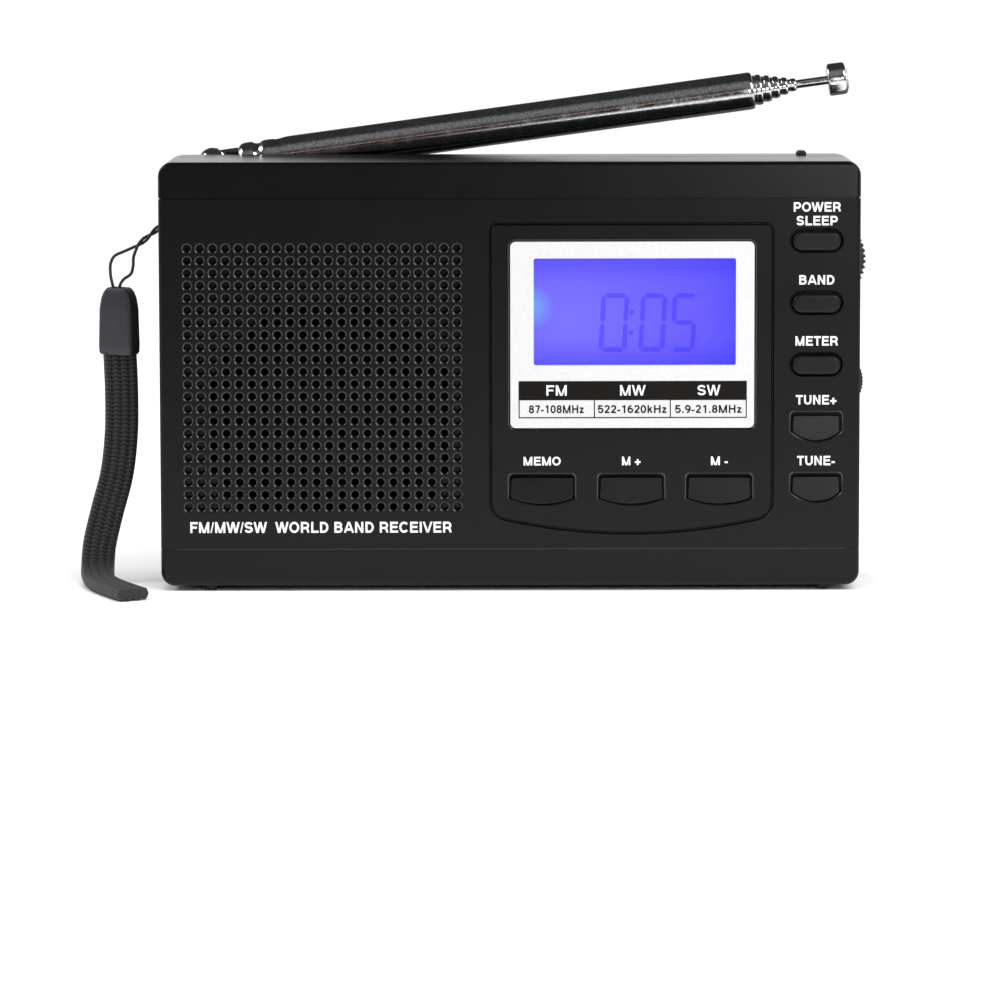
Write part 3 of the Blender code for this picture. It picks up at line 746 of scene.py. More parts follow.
# ---- front shell --------------------------------------------------------------------------------------
GRILLE_LEFT, GRILLE_RIGHT, GRILLE_LOW, GRILLE_HIGH, GRILLE_COUNT = -55.15, -9.0, 13.7, 58.28, 22
PITCH_X = (GRILLE_RIGHT - GRILLE_LEFT) / (GRILLE_COUNT - 1)
PITCH_Z = (GRILLE_HIGH - GRILLE_LOW) / (GRILLE_COUNT - 1)
SPEAKER = middle("speaker_frame")
OPEN_RADIUS = 21.7
HOLE_MOUTH, HOLE_RADIUS, BLIND_DEPTH = 0.88, 0.60, 1.5
CROWN_LINE, CROWN_LEAN = 66.8, 0.035  # above this height the front face leans back


# Sixteen points round a square, and their angles.
SIDE = (-1, -0.5, 0, 0.5)
SQUARE = [(1, v) for v in SIDE] + [(-u, 1) for u in SIDE] + [(-1, -v) for v in SIDE] + [(u, -1) for u in SIDE]
SQUARE_ANGLES = [atan2(v, u) for u, v in SQUARE]


def grille_patch():
    """The perforated field: every cell is a square round a countersunk hole, blind away from the speaker."""
    build = bmesh.new()
    corners = {}

    def vertex(x, y, z):
        key = (round(x, 4), round(y, 4), round(z, 4))
        if key not in corners:
            corners[key] = build.verts.new(world((x, y, z)))
        return corners[key]

    for row in range(GRILLE_COUNT):
        for column in range(GRILLE_COUNT):
            x, z = GRILLE_LEFT + PITCH_X * column, GRILLE_LOW + PITCH_Z * row
            edge = [(x + u * PITCH_X / 2, z + v * PITCH_Z / 2) for u, v in SQUARE]
            through = hypot(x - SPEAKER.x, z - SPEAKER.z) < OPEN_RADIUS
            rings = [[vertex(u, FRONT, v) for u, v in edge]]
            layers = [(HOLE_MOUTH + 0.1, 0.0), (HOLE_MOUTH + 0.04, 0.0), (HOLE_MOUTH, 0.02),
                      (HOLE_RADIUS + 0.03, 0.27), (HOLE_RADIUS, 0.31)]
            layers.append((HOLE_RADIUS, WALL) if through else (HOLE_RADIUS * 0.8, BLIND_DEPTH))
            for r, depth in layers:
                rings.append([build.verts.new(world((x + r * cos(a), FRONT + depth, z + r * sin(a))))
                              for a in SQUARE_ANGLES])
            skinned(build, rings, caps=False)
            if not through:
                build.faces.new(rings[-1])
    return mesh_of(build, outward=False)


def groove_cutter(shape, width, depth):
    """A closed groove along an outline, with broken edges: narrower at the bottom than at the face."""
    half, lip = width / 2, 0.12
    return stack([
        (shape(-half - lip), FRONT - 0.5), (shape(-half - lip), FRONT - 0.001), (shape(-half), FRONT + lip),
        (shape(-half * 0.4), FRONT + depth), (shape(half * 0.4), FRONT + depth),
        (shape(half), FRONT + lip), (shape(half + lip), FRONT - 0.001), (shape(half + lip), FRONT - 0.5),
    ], ring=True)


def lipped_hole(shape, end, lip=0.2):
    return stack([(shape(-lip), FRONT - 0.5), (shape(-lip), FRONT - 0.001),
                  (shape(0), FRONT + lip * 0.9), (shape(0), end)])


def line_cutter(height, width, depth):
    """A groove right round the front of the case at one height."""
    slab = blocks(((LEFT - 1, FRONT - 1, height - width / 2), (RIGHT + 1, SEAM + 1, height + width / 2)))
    return carved(slab, (CUT, rounded_half(FRONT, SEAM + 3, 0.8, depth)))


WHEEL = middle("volume_wheel")
WHEEL_R = edges("volume_wheel")[5] - WHEEL.z
SCREWS = [middle(f"case_screw_{n}") for n in (1, 2, 3, 4)]
LOCK = (57.0, 30.6, 61.5, 40.2)  # the slot that the lock switch slides in


def wheel_slot(y0, y1):
    return pegs([WHEEL], y0, y1, WHEEL_R + 0.4, steps=64)


def lock_slot(y0, y1):
    return blocks(((LOCK[0], y0, LOCK[1]), (LOCK[2], y1, LOCK[3])))


WINDOW_GAP, WINDOW_CORNER = 0.2, 0.9


def make_front_shell():
    inner = round_rect(LEFT + WALL, WALL, RIGHT - WALL, TOP - WALL, 0.8, 4)
    body = rounded_half(FRONT, SEAM, 0.75)
    hollow = prism(inner, FRONT + WALL, SEAM + 1)
    x0, _, z0, x1, _, z1 = edges("display_window")

    def round_window(inset):
        d = inset - WINDOW_GAP
        return round_rect(x0 + d, z0 + d, x1 - d, z1 - d, WINDOW_CORNER - d, 8)

    seat = lipped_hole(round_window, -10.9)
    sight = plate([round_rect(4.0, 37.7, 38.8, 56.6, 0.4, 3)], -11.3, -9.5)
    mouths = [lipped_hole(lambda d, k=key: key_outline(k, d), FRONT + WALL + 0.5) for key in KEYS]
    field = blocks(((GRILLE_LEFT - PITCH_X / 2, FRONT - 1, GRILLE_LOW - PITCH_Z / 2),
                    (GRILLE_RIGHT + PITCH_X / 2, FRONT + WALL + 1, GRILLE_HIGH + PITCH_Z / 2)))
    shell = carved(
        body, (CUT, hollow), (ADD, feet(FRONT + 1.5, SEAM - 0.4)),
        (CUT, joined(seat, *mouths, field, lock_slot(-2.5, SEAM + 1.5), wheel_slot(-3.5, SEAM + 1.5))),
        (CUT, sight),
        (CUT, groove_cutter(pod_outline, 0.36, 0.6)),
        (CUT, line_cutter(CROWN_LINE, 0.30, 0.22)),
        (CUT, line_cutter(6.35, 0.22, 0.14)),
    )
    for vertex in shell.vertices:
        over = vertex.co.z / MM - FOOT - CROWN_LINE
        depth = (vertex.co.y / MM - FRONT) / (SEAM - FRONT)
        if over > 0 and depth < 1:
            vertex.co.y += over * CROWN_LEAN * (1 - depth) * MM
    shell = joined(shell, grille_patch(), outward=False)
    piece("front_shell_skin", shell, FRONT_CASE, "radio", "front_shell", smooth=40)


# ---- rear shell, its cover, stand and screws ------------------------------------------------------------
PIVOT = middle("antenna_pin")
STAND_HINGE = (10.9, 35.0)
JACKS = ((5, 22, 2.7), (5, 34, 2.3), (3.8, 61.5, 1.6))  # holes in the left side: the two jacks and the strap's eye


def make_rear_shell():
    body = rounded_half(BACK, SEAM, 1.3)
    edge = SEAM - 1
    step = [(edge, WALL), (BACK - WALL, WALL), (BACK - WALL, 65.0),
            (3.2, 65.0), (3.2, TOP - WALL), (edge, TOP - WALL)]
    hollow = plate([step], LEFT + WALL, RIGHT - WALL, "X")
    bay = [(-5.5, 2.2), (SEAM, 2.2), (SEAM, 1.0), (11.0, 1.0), (11.0, 38.8), (-5.5, 38.8)]
    pad = blocks(((-47.2, 8.2, 2.4), (-14.8, 11.0, 38.0)))
    rest = prism(round_rect(49.5, 70.4, 51.3, TOP + 0.7, 0.6, 4), 2.2, 4.5)
    posts = pegs(SCREWS, SEAM + 0.15, 10.9, 2.6)
    trough = [(4.8, 75.0), (4.8, 67.2), (5.4, 66.6), (13, 66.6), (13, 75)]
    trough = plate([trough], LEFT - 1, RIGHT + 1, "X")
    bay_room = blocks(((-1.5, -4.4, 5.0), (54.5, 10.6, 36.0)))
    hinge_hole = rods(((-46.9, *STAND_HINGE), (-15.1, *STAND_HINGE), 1.0), steps=16)
    wells = pegs(SCREWS, SEAM - 1, 10.0, 1.2, steps=20)
    room = rods(((PIVOT.x, PIVOT.y, 58.0), (PIVOT.x, PIVOT.y, 64.9), 3.0))
    side = rods(*(((-61, y, z), (-57, y, z), r) for y, z, r in JACKS))
    heads = joined(pegs(SCREWS, 9.6, 11.7, 2.3), pegs(SCREWS, 11.65, 12.3, 2.3, 2.95))
    seats = joined(
        prism(round_rect(-2.9, 3.9, 55.9, 37.3, 0.5, 3), 10.4, 13),
        prism(round_rect(-45.4, 3.6, -16.6, 36.4, 0.5, 3), 9.7, 13),
        rods(((PIVOT.x, PIVOT.y, 64.0), (PIVOT.x, PIVOT.y, 68.0), 1.95)),
    )
    shell = carved(
        body, (CUT, hollow),
        (ADD, joined(plate([bay], -4.4, 56.3, "X"), pad, rest, feet(SEAM + 0.4, BACK - 1.5))), (ADD, posts),
        (CUT, joined(trough, bay_room, hinge_hole, wells, room, side,
                     lock_slot(SEAM - 1, 0.5), wheel_slot(SEAM - 1, 1.5))),
        (CUT, seats), (CUT, heads),
    )
    piece("rear_shell_skin", shell, CASE, "radio", "rear_shell", smooth=40)


def make_cover_and_stand():
    x0, _, _, x1, _, _ = edges("battery_cover")
    lid = [(10.5, 37.0)] + arc(11.25, 5.0, 0.75, 180, 360, 12) + [(11.85, 36.9), (11.7, 37.0)]
    cover = plate([lid], x0, x1, "X")
    cuts = [((x0 + 19, 11.75, 29.0 + 1.3 * n), (x1 - 19, 12.5, 29.55 + 1.3 * n)) for n in range(5)]
    cover = carved(cover, (CUT, blocks(*cuts)))
    piece("battery_cover_skin", cover, CASE, "cell_cover", "battery_cover", smooth=30)
    flat = round_rect(-45.0, 4.0, -17.0, 35.0, 1.2, 5)
    slab = stack([(flat, 10.0), (flat, 11.6), (round_rect(-44.8, 4.2, -17.2, 34.8, 1.1, 5), 11.8)])
    pin = rods(((-46.6, *STAND_HINGE), (-15.4, *STAND_HINGE), 0.88), steps=20)
    window = prism(round_rect(-39.0, 12.0, -23.0, 28.0, 2.0, 5), 11.3, 12.5)
    nail = blocks(((-35.0, 11.0, 3.5), (-27.0, 12.5, 5.6)))
    stand = carved(slab, (ADD, pin), (CUT, window), (CUT, nail))
    piece("kick_stand_skin", stand, CASE, "stand", "kick_stand", smooth=30)


SCREW_HEAD = 11.1
THREAD_TURNS, THREAD_PITCH = 22, 0.68


def make_screws():
    shape = [(0, 0), (1.3, 0), (1.75, -0.2), (1.9, -0.5), (1.9, -1.4), (1.0, -1.4)]
    for turn in range(THREAD_TURNS):
        shape += [(1.0, -2.0 - THREAD_PITCH * turn), (0.78, -2.34 - THREAD_PITCH * turn)]
    shape += [(0.4, -17.3), (0, -17.6)]
    for number, p in enumerate(SCREWS, 1):
        screw = turned(shape, pointing((p.x, SCREW_HEAD, p.z), (0, 1, 0)), 24)
        slots = [blocks(((p.x - u, SCREW_HEAD - 0.7, p.z - v), (p.x + u, SCREW_HEAD + 0.5, p.z + v)))
                 for u, v in ((1.1, 0.18), (0.18, 1.1))]
        screw = carved(screw, *((CUT, slot) for slot in slots))
        piece(f"case_screw_{number}_fine", screw, STEEL, "radio", f"case_screw_{number}")


# ---- keys, wheel and lock switch --------------------------------------------------------------------------
def make_keys():
    for key in KEYS:
        bowed = key in D_KEYS
        _, crown, _, _, back, _ = edges(key)
        # The gap beside the key, above it and below it.
        beside, above, below = (0.35, 0.60, 0.16) if bowed else (0.30, 0.38, 0.24)
        edge = 0.22 if bowed else 0.5
        shoulder = back - 0.55
        layers = [(key_outline(key, -KEY_FLANGE), back), (key_outline(key, -KEY_FLANGE), shoulder),
                  (key_outline(key, beside, above, below), shoulder)]
        for i in range(6):
            a = radians(18 * i)
            step = edge * (1 - cos(a))
            outline = key_outline(key, beside + step, above + step, below + step)
            layers.append((outline, crown + edge * (1 - sin(a))))
        cap = stack(layers)
        if bowed:
            # The cap leans back: flush at its lower edge and sunk at its top.
            _, z0, _, z1 = key_box(key)
            for vertex in cap.vertices:
                if vertex.co.y / MM < crown + 1.0:
                    vertex.co.y += KEY_LEAN * (vertex.co.z / MM - FOOT - z0) / (z1 - z0) * MM
        piece(key + "_cap", cap, KEY, key.replace("_button", "_key"), key, smooth=50)


def make_wheel():
    _, y0, _, _, y1, _ = edges("volume_wheel")
    x, z, teeth, outer, bevel = WHEEL.x, WHEEL.z, 50, WHEEL_R, 0.45

    def rim(tip, root):
        loop = []
        for i in range(teeth):
            for part, r in ((0.0, root), (0.18, root), (0.5, tip), (0.62, tip), (0.98, root)):
                a = tau * (i + part) / teeth
                loop.append((x + r * cos(a), z + r * sin(a)))
        return loop

    narrow, full = rim(outer - bevel, outer - 0.6), rim(outer, outer - 0.42)
    body = stack([(narrow, y0), (full, y0 + bevel), (full, y1 - bevel), (narrow, y1)])
    dish = pegs([WHEEL], y1 - 0.8, y1 + 1, 5.9, 6.3, steps=48)
    bore = pegs([WHEEL], y0 - 1, y1 + 1, 2.1)
    wheel = carved(body, (CUT, dish), (CUT, bore))
    piece("volume_wheel_fine", wheel, SOFT_KEY, "volume_control", "volume_wheel", smooth=25)


def make_lock():
    _, y0, _, crest, y1, _ = edges("lock_switch")
    foot_x, z0, z1 = 57.9, 31.15, 37.15
    shoulder = crest - 0.9
    loop = [(57.1, 30.2), (foot_x, 30.2), (foot_x, z0), (shoulder, z0)]
    ridges, fine = 10, 6
    for i in range(ridges * fine + 1):
        t = i / (ridges * fine)
        dip = 0.09 * (1 - cos(tau * t * ridges)) * min(1, sin(pi * t) * 6)
        loop.append((shoulder + 0.88 * sin(pi * t) ** 0.8 - dip, z0 + (z1 - z0) * t))
    loop += [(shoulder, z1), (foot_x, z1), (foot_x, 38.1), (57.1, 38.1)]
    piece("lock_switch_fine", prism(loop, y0, y1), SOFT_KEY, "lock_slide", "lock_switch", smooth=25)


# ---- display ------------------------------------------------------------------------------------------------
SIGHT, SIGHT_CORNER = (4.1, 38.1, 38.7, 56.5), 0.35  # the clear part of the window


def make_window():
    x0, front, z0, x1, back, z1 = edges("display_window")
    left, low, right, high = SIGHT
    printed = plate([round_rect(x0, z0, x1, z1, WINDOW_CORNER, 8), round_rect(*SIGHT, SIGHT_CORNER, 4)], front, back)
    piece("display_window_print", printed, PRINT_WHITE, "radio", "display_window", smooth=20)
    inset = 0.01
    pane = round_rect(left + inset, low + inset, right - inset, high - inset, SIGHT_CORNER, 4)
    piece("display_window_lens", plate([pane], front + 0.05, front + 0.12), lens(), "radio")
    return front


TABLE = (1.5, 40.6, 35.4, 32.1, 29.0)  # left, right, and the heights of its three lines
DIVIDERS = (14.5, 27.5)


def make_table(face):
    left, right, top, mid, low = TABLE
    skin = face - 0.03
    header = plate([round_rect(left, mid, right, top, 0.05, 1)], skin, face)
    line = 0.09  # half a line's width
    uprights = (left + line, right - line, *DIVIDERS)
    strips = [((x - line, skin, low), (x + line, face, mid)) for x in uprights]
    strips.append(((left, skin, low), (right, face, low + line * 2)))
    piece("band_table_header", header, PRINT_BLACK, "radio")
    piece("band_table_lines", blocks(*strips), PRINT_BLACK, "radio")
    centres = ((left + DIVIDERS[0]) / 2, (DIVIDERS[0] + DIVIDERS[1]) / 2, (DIVIDERS[1] + right) / 2)
    names, spans = ("FM", "MW", "SW"), ("87-108MHz", "522-1620kHz", "5.9-21.8MHz")
    bands = zip(centres, names, (3.9, 4.6, 4.1), spans, (9.6, 12.0, 11.6))
    for number, (x, name, name_wide, span, wide) in enumerate(bands, 1):
        bold_lettering(f"band_name_{number}", name, (x, 32.9), 1.8, skin, WHITE_INK, name_wide, half=0.085)
        bold_lettering(f"band_span_{number}", span, (x, 29.85), 1.4, face, PRINT_BLACK, wide, half=0.095)


SLANT = 0.055  # how far the digits lean for each unit of height


def make_lcd():
    panel = frame["nodes"]["lcd_panel"]
    panel.data.materials.clear()
    panel.data.materials.append(lcd("lcd_glow", (1, 1, 1)))
    face = edges("lcd_panel")[1]
    low, high, thick, gap = 40.2, 50.3, 0.82, 0.08
    segments = {"0": "abcdef", "5": "acdfg"}  # the lit ones of each digit, lettered as usual
    build = bmesh.new()

    def segment(points):
        slanted = [(x + (z - low) * SLANT, z) for x, z in points]
        build.faces.new([build.verts.new(world((x, face - 0.015, z))) for x, z in slanted])

    def bar(xa, za, xb, zb):
        """A segment with pointed ends from one place to another."""
        d = Vector((xb - xa, zb - za)).normalized()
        n = Vector((-d.y, d.x)) * thick / 2
        a, b = Vector((xa, za)) + d * (gap + 0.1), Vector((xb, zb)) - d * (gap + 0.1)
        lead = d * thick * 0.42
        segment([(a - lead * 0.3).to_tuple(), (a + lead + n).to_tuple(), (b - lead + n).to_tuple(),
                 (b + lead * 0.3).to_tuple(), (b - lead - n).to_tuple(), (a + lead - n).to_tuple()])

    for x0, x1, digit in ((15.2, 20.0, "0"), (22.0, 26.5, "0"), (27.4, 31.7, "5")):
        x0, x1 = x0 + thick / 2, x1 - thick / 2
        bottom, top = low + thick / 2, high - thick / 2
        half = (bottom + top) / 2
        lines = {"a": (x0, top, x1, top), "b": (x1, half, x1, top), "c": (x1, bottom, x1, half),
                 "d": (x0, bottom, x1, bottom), "e": (x0, bottom, x0, half), "f": (x0, half, x0, top),
                 "g": (x0, half, x1, half)}
        for name in segments[digit]:
            bar(*lines[name])
    for z in (47.0, 43.5):
        segment(arc(20.6, z, 0.42, 0, 360, 16)[:-1])
    piece("lcd_segments", mesh_of(build, outward=False), lcd("lcd_segment", (0.52, 0.50, 0.90)), "radio")


# ---- lettering ------------------------------------------------------------------------------------------------
# A plain bold face: each letter's width, then its strokes' middle lines, for a height of 1.
STEM = [(0.2, 0), (0.2, 1)]
GLYPHS = {
    " ": (0.39,),
    "A": (1.0, [(0.1, -0.03), (0.48, 1.03)], [(0.52, 1.03), (0.9, -0.03)], [(0.25, 0.3), (0.75, 0.3)]),
    "B": (1.0, STEM, [(0.2, 0.9), (0.52, 0.9), *bend(0.54, 0.72, 0.2, 0.18, 90, -90), (0.2, 0.54)],
          [(0.2, 0.54), (0.54, 0.54), *bend(0.56, 0.32, 0.23, 0.22, 90, -90), (0.2, 0.1)]),
    "C": (1.0, bend(0.52, 0.5, 0.37, 0.41, 40, 320, 24)),
    "D": (1.0, STEM, [(0.2, 0.9), (0.4, 0.9), *bend(0.44, 0.5, 0.37, 0.4, 90, -90, 16), (0.2, 0.1)]),
    "E": (0.93, STEM, [(0.2, 0.9), (0.85, 0.9)], [(0.2, 0.52), (0.8, 0.52)], [(0.2, 0.1), (0.87, 0.1)]),
    "F": (0.85, STEM, [(0.2, 0.9), (0.81, 0.9)], [(0.2, 0.5), (0.73, 0.5)]),
    "I": (0.4, STEM),
    "L": (0.85, STEM, [(0.2, 0.1), (0.8, 0.1)]),
    "M": (1.17, [(0.19, 0), (0.19, 1)], [(0.98, 0), (0.98, 1)],
          [(0.2, 1.03), (0.56, -0.03)], [(0.61, -0.03), (0.97, 1.03)]),
    "N": (1.0, STEM, [(0.8, 0), (0.8, 1)], [(0.22, 1.02), (0.78, -0.02)]),
    "O": (1.08, bend(0.54, 0.5, 0.38, 0.41, 0, 360, 32)),
    "P": (0.93, STEM, [(0.2, 0.9), (0.52, 0.9), *bend(0.56, 0.66, 0.22, 0.24, 90, -90), (0.2, 0.42)]),
    "R": (1.0, STEM, [(0.2, 0.9), (0.55, 0.9), *bend(0.57, 0.67, 0.23, 0.23, 90, -90), (0.2, 0.44)],
          [(0.5, 0.44), (0.66, 0.4), (0.76, 0.28), (0.8, 0.1), (0.84, 0)]),
    "S": (0.93, bend(0.46, 0.71, 0.29, 0.2, 12, 262, 14) + bend(0.46, 0.3, 0.31, 0.2, 82, -168, 14)),
    "T": (0.85, [(0.04, 0.9), (0.81, 0.9)], [(0.425, 0), (0.425, 1)]),
    "U": (1.0, [(0.19, 1), (0.19, 0.38), *bend(0.5, 0.38, 0.31, 0.29, 180, 360, 12), (0.81, 1)]),
    "V": (0.93, [(0.09, 1.03), (0.45, -0.03)], [(0.48, -0.03), (0.84, 1.03)]),
    "W": (1.31, *[[(u, 1.03), (v, -0.03)] for u, v in ((0.1, 0.365), (0.64, 0.4), (0.67, 0.91), (1.21, 0.945))]),
    "/": (0.39, [(0.08, 0), (0.31, 1)]),
    "H": (1.0, STEM, [(0.8, 0), (0.8, 1)], [(0.2, 0.52), (0.8, 0.52)]),
    "k": (0.77, STEM, [(0.6, 0.74), (0.24, 0.36)], [(0.36, 0.46), (0.64, 0)]),
    "z": (0.70, [(0.08, 0.64), (0.52, 0.64)], [(0.52, 0.66), (0.14, 0.08)], [(0.1, 0.1), (0.6, 0.1)]),
    "0": (0.77, bend(0.385, 0.5, 0.25, 0.41, 0, 360, 24)),
    "1": (0.77, [(0.46, 0), (0.46, 1)], [(0.2, 0.76), (0.44, 0.86)]),
    "2": (0.77, bend(0.385, 0.68, 0.23, 0.23, 170, -30, 12) + [(0.16, 0.12)], [(0.1, 0.1), (0.67, 0.1)]),
    "5": (0.77, [(0.64, 0.9), (0.2, 0.9), (0.16, 0.5), *bend(0.38, 0.34, 0.26, 0.25, 120, -155, 14)]),
    "6": (0.77, bend(0.385, 0.34, 0.24, 0.25, 0, 360, 20), bend(0.44, 0.42, 0.3, 0.48, 75, 190, 10)),
    "7": (0.77, [(0.1, 0.9), (0.66, 0.9)], [(0.62, 0.9), (0.32, 0)]),
    "8": (0.77, bend(0.385, 0.72, 0.2, 0.19, 0, 360, 18), bend(0.385, 0.31, 0.24, 0.22, 0, 360, 20)),
    "9": (0.77, bend(0.385, 0.66, 0.24, 0.25, 0, 360, 20), bend(0.33, 0.58, 0.3, 0.48, 255, 370, 10)),
    ".": (0.39, [(0.2, 0), (0.2, 0.2)]),
    "+": (0.81, [(0.06, 0.37), (0.75, 0.37)], [(0.405, 0.03), (0.405, 0.71)]),
    "-": (0.46, [(0.05, 0.33), (0.41, 0.33)]),
}


def ribbon(line, half):
    """The outline of a stroke along a line, cut off level at the letter's foot and head."""
    line = [Vector(p) for p in line]
    closed = (line[0] - line[-1]).length < 1e-6
    sides = ([], [])
    for i, here in enumerate(line):
        before = line[-2] if closed and i == 0 else line[max(i - 1, 0)]
        after = line[1] if closed and i == len(line) - 1 else line[min(i + 1, len(line) - 1)]
        into, out = (here - before).normalized(), (after - here).normalized()
        ahead = (into + out).normalized()
        normal = Vector((-ahead.y, ahead.x))
        reach = half / max(normal.dot(Vector((-out.y, out.x))) if out.length else 1.0, 0.3)
        for side, way in zip(sides, (1, -1)):
            point = here + normal * reach * way
            side.append((point.x, min(max(point.y, 0.0), 1.0)))
    return [sides[0][:-1], sides[1][:-1]] if closed else [sides[0] + sides[1][::-1]]


def bold_lettering(name, words, place, cap, face, look, wide, left=False, half=0.1):
    """Bold printed words of the given width, a hair proud of the face, standing on `place`."""
    total = sum(GLYPHS[letter][0] for letter in words)
    across = wide / total
    start = place[0] - (0 if left else wide / 2)
    strokes = []
    for letter in words:
        advance, *lines = GLYPHS[letter]
        # Each stroke stands a little prouder than the one that it crosses.
        for number, line in enumerate(lines):
            loops = ribbon(line, half * (0.6 if letter == "/" else 1))
            strokes.append(plate([[(start + u * across, place[1] + v * cap) for u, v in loop] for loop in loops],
                                 face - 0.02 - 0.003 * number, face + 0.003))
        start += advance * across
    return piece(name, joined(*strokes), look, "radio", smooth=20)


def make_legends():
    tall, short = 1.62, 1.5
    keys = {
        "legend_power": ("POWER", "power_button", 64.45, tall, 8.3),
        "legend_sleep": ("SLEEP", "power_button", 62.1, tall, 7.2),
        "legend_bands": ("BAND", "band_button", 51.95, tall, 6.3),
        "legend_meter": ("METER", "meter_button", 41.45, tall, 7.5),
        "legend_tune_up": ("TUNE+", "tune_up_button", 31.3, tall, 7.1),
        "legend_tune_down": ("TUNE-", "tune_down_button", 20.8, tall, 6.6),
        "legend_memo": ("MEMO", "memo_button", 20.85, short, 6.6),
        "legend_memory_up": ("M +", "memory_up_button", 20.85, short, 3.4),
        "legend_memory_down": ("M -", "memory_down_button", 20.85, short, 3.1),
    }
    for name, (words, key, z, cap, wide) in keys.items():
        bold_lettering(name, words, (middle(key).x, z), cap, FRONT, WHITE_INK, wide)
    line = "FM/MW/SW  WORLD BAND RECEIVER"
    bold_lettering("legend_line", line, (-55.1, 9.25), 1.9, FRONT, WHITE_INK, 45.2, left=True)


# ---- antenna ----------------------------------------------------------------------------------------------------
TILT = 7.77
TUBE_R, TUBE_END = 3.3, 94.7  # the base tube, and where it ends, counted from the hinge
STAGES = ((2.7, 2.45), (2.35, 2.05), (1.95, 1.65), (1.55, 1.25), (1.15, 0.85))  # outer and inner radius of each
TIP_BACK, TIP_END = 107.7, 111.15


def rolled(radius, end, depth, inner):
    """The end of a tube, from its outer side round to its bore: a lip rolled inwards over the given depth."""
    drop = radius - inner
    return [(radius - drop * (1 - cos(a)) ** 1.15, end - depth * (1 - sin(a))) for a in QUARTER]


def make_antenna():
    # The antenna's z axis runs along it from its hinge.
    line = pointing(PIVOT, (cos(radians(TILT)), 0, sin(radians(TILT))))
    round_top = [(2.9 * sin(radians(a)), 0.3 + 2.9 * cos(radians(a))) for a in range(0, 91, 6)]
    knuckle = round_top + [(2.9, -3.4), (2.75, -3.65), (2.9, -3.8), (2.9, -4.0), (1.85, -4.0),
                           (1.85, -6.2), (2.6, -6.2), (2.6, -7.3), (0, -7.3)]
    base = turned(knuckle, pointing(PIVOT, (0, 0, 1)), 64)
    slot = blocks(((PIVOT.x - 5, PIVOT.y - 1.3, PIVOT.z - 3.0), (PIVOT.x + 5, PIVOT.y + 1.3, PIVOT.z + 4)))
    hole = pegs([PIVOT], PIVOT.y - 4, PIVOT.y + 4, 0.9)
    base = carved(base, (CUT, slot), (CUT, hole))
    piece("antenna_swivel_fine", base, CHROME, "antenna_base", "antenna_swivel")
    pin = turned([(0, 2.7), (0.6, 2.7), (0.8, 2.5), (0.8, -2.5), (0.6, -2.7), (0, -2.7)],
                 pointing(PIVOT, (0, 1, 0)), 24)
    piece("antenna_pin_fine", pin, STEEL, "antenna_base", "antenna_pin")

    tube = [(0, 14.0), (2.88, 14.0), (2.88, TUBE_END)] + rolled(TUBE_R, TUBE_END, 0.95, 2.92)[::-1]
    # Down the outside: two swaged grooves and the ferrule, each with soft shoulders.
    tube += [(TUBE_R, 13.8), (TUBE_R - 0.03, 13.2), (TUBE_R - 0.1, 12.6), (3.1, 12.1), (3.06, 11.7), (3.1, 11.3),
             (3.18, 10.9), (3.2, 10.4), (3.2, 9.5), (3.14, 9.1), (3.0, 8.8), (2.84, 8.5), (2.78, 8.2), (2.84, 7.9),
             (3.0, 7.65), (3.14, 7.4), (3.18, 7.0), (3.18, 6.1), (3.1, 5.6), (2.95, 5.2), (2.7, 4.9), (2.3, 4.8),
             (0, 4.8)]
    tube = turned(tube, line, 96)
    # The flat tongue at the hinge, in the antenna's own directions.
    upright = Matrix.LocRotScale(world(PIVOT), Matrix.Rotation(-radians(TILT), 3, "Y").to_quaternion(), None)
    outline = [(5.5, -2.3), (5.3, -2.5), (1.6, -2.5), *arc(0, 0, 2.2, 290, 70, 20), (1.6, 2.5), (5.3, 2.5), (5.5, 2.3)]
    build = bmesh.new()
    skinned(build, [[build.verts.new(Vector((x, y, z)) * MM) for x, z in outline] for y in (-1.1, 1.1)])
    tongue = mesh_of(build)
    tongue.transform(upright)
    build = bmesh.new()
    bmesh.ops.create_cone(build, cap_ends=True, segments=24, radius1=0.9 * MM, radius2=0.9 * MM, depth=5 * MM,
                          matrix=Matrix.Rotation(pi / 2, 4, "X"))
    eye = mesh_of(build)
    eye.transform(upright)
    tube = carved(tube, (ADD, tongue), (CUT, eye))
    piece("antenna_tube_fine", tube, TUBE_CHROME, "antenna_stage_1", "antenna_tube")

    for number, (r, hollow) in enumerate(STAGES, 2):
        end = TUBE_END + 1.5 * (number - 1)
        section = rolled(r, end, 0.75, hollow + 0.02)[::-1]
        section += [(r, end - 0.95), (r - 0.1, end - 1.1), (r - 0.1, end - 1.3), (r - 0.03, end - 1.5),
                    (r - 0.03, 15.0), (hollow, 15.0)]
        piece(f"antenna_section_{number}_fine", turned(section, line, 64, closed=True), CHROME,
              f"antenna_stage_{number}", f"antenna_section_{number}")
    rod = [(0, TIP_BACK + 2.3), (0.75, TIP_BACK + 2.3), (0.75, 16.0), (0, 16.0)]
    piece("antenna_rod_fine", turned(rod, line, 32), CHROME, "antenna_stage_7", "antenna_rod")
    tip = [(0, TIP_END), (2.0, TIP_END), (2.08, TIP_END - 0.06)]
    tip += [(2.1 + 0.75 * sin(a), TIP_END - 0.85 + 0.75 * cos(a)) for a in QUARTER]
    tip += [(2.85, TIP_BACK + 0.45), (2.8, TIP_BACK + 0.2), (2.65, TIP_BACK + 0.04), (2.45, TIP_BACK),
            (0.87, TIP_BACK), (0.87, TIP_BACK + 2.6), (0, TIP_BACK + 2.6)]
    piece("antenna_tip_fine", turned(tip, line, 64), CHROME, "antenna_stage_7", "antenna_tip")


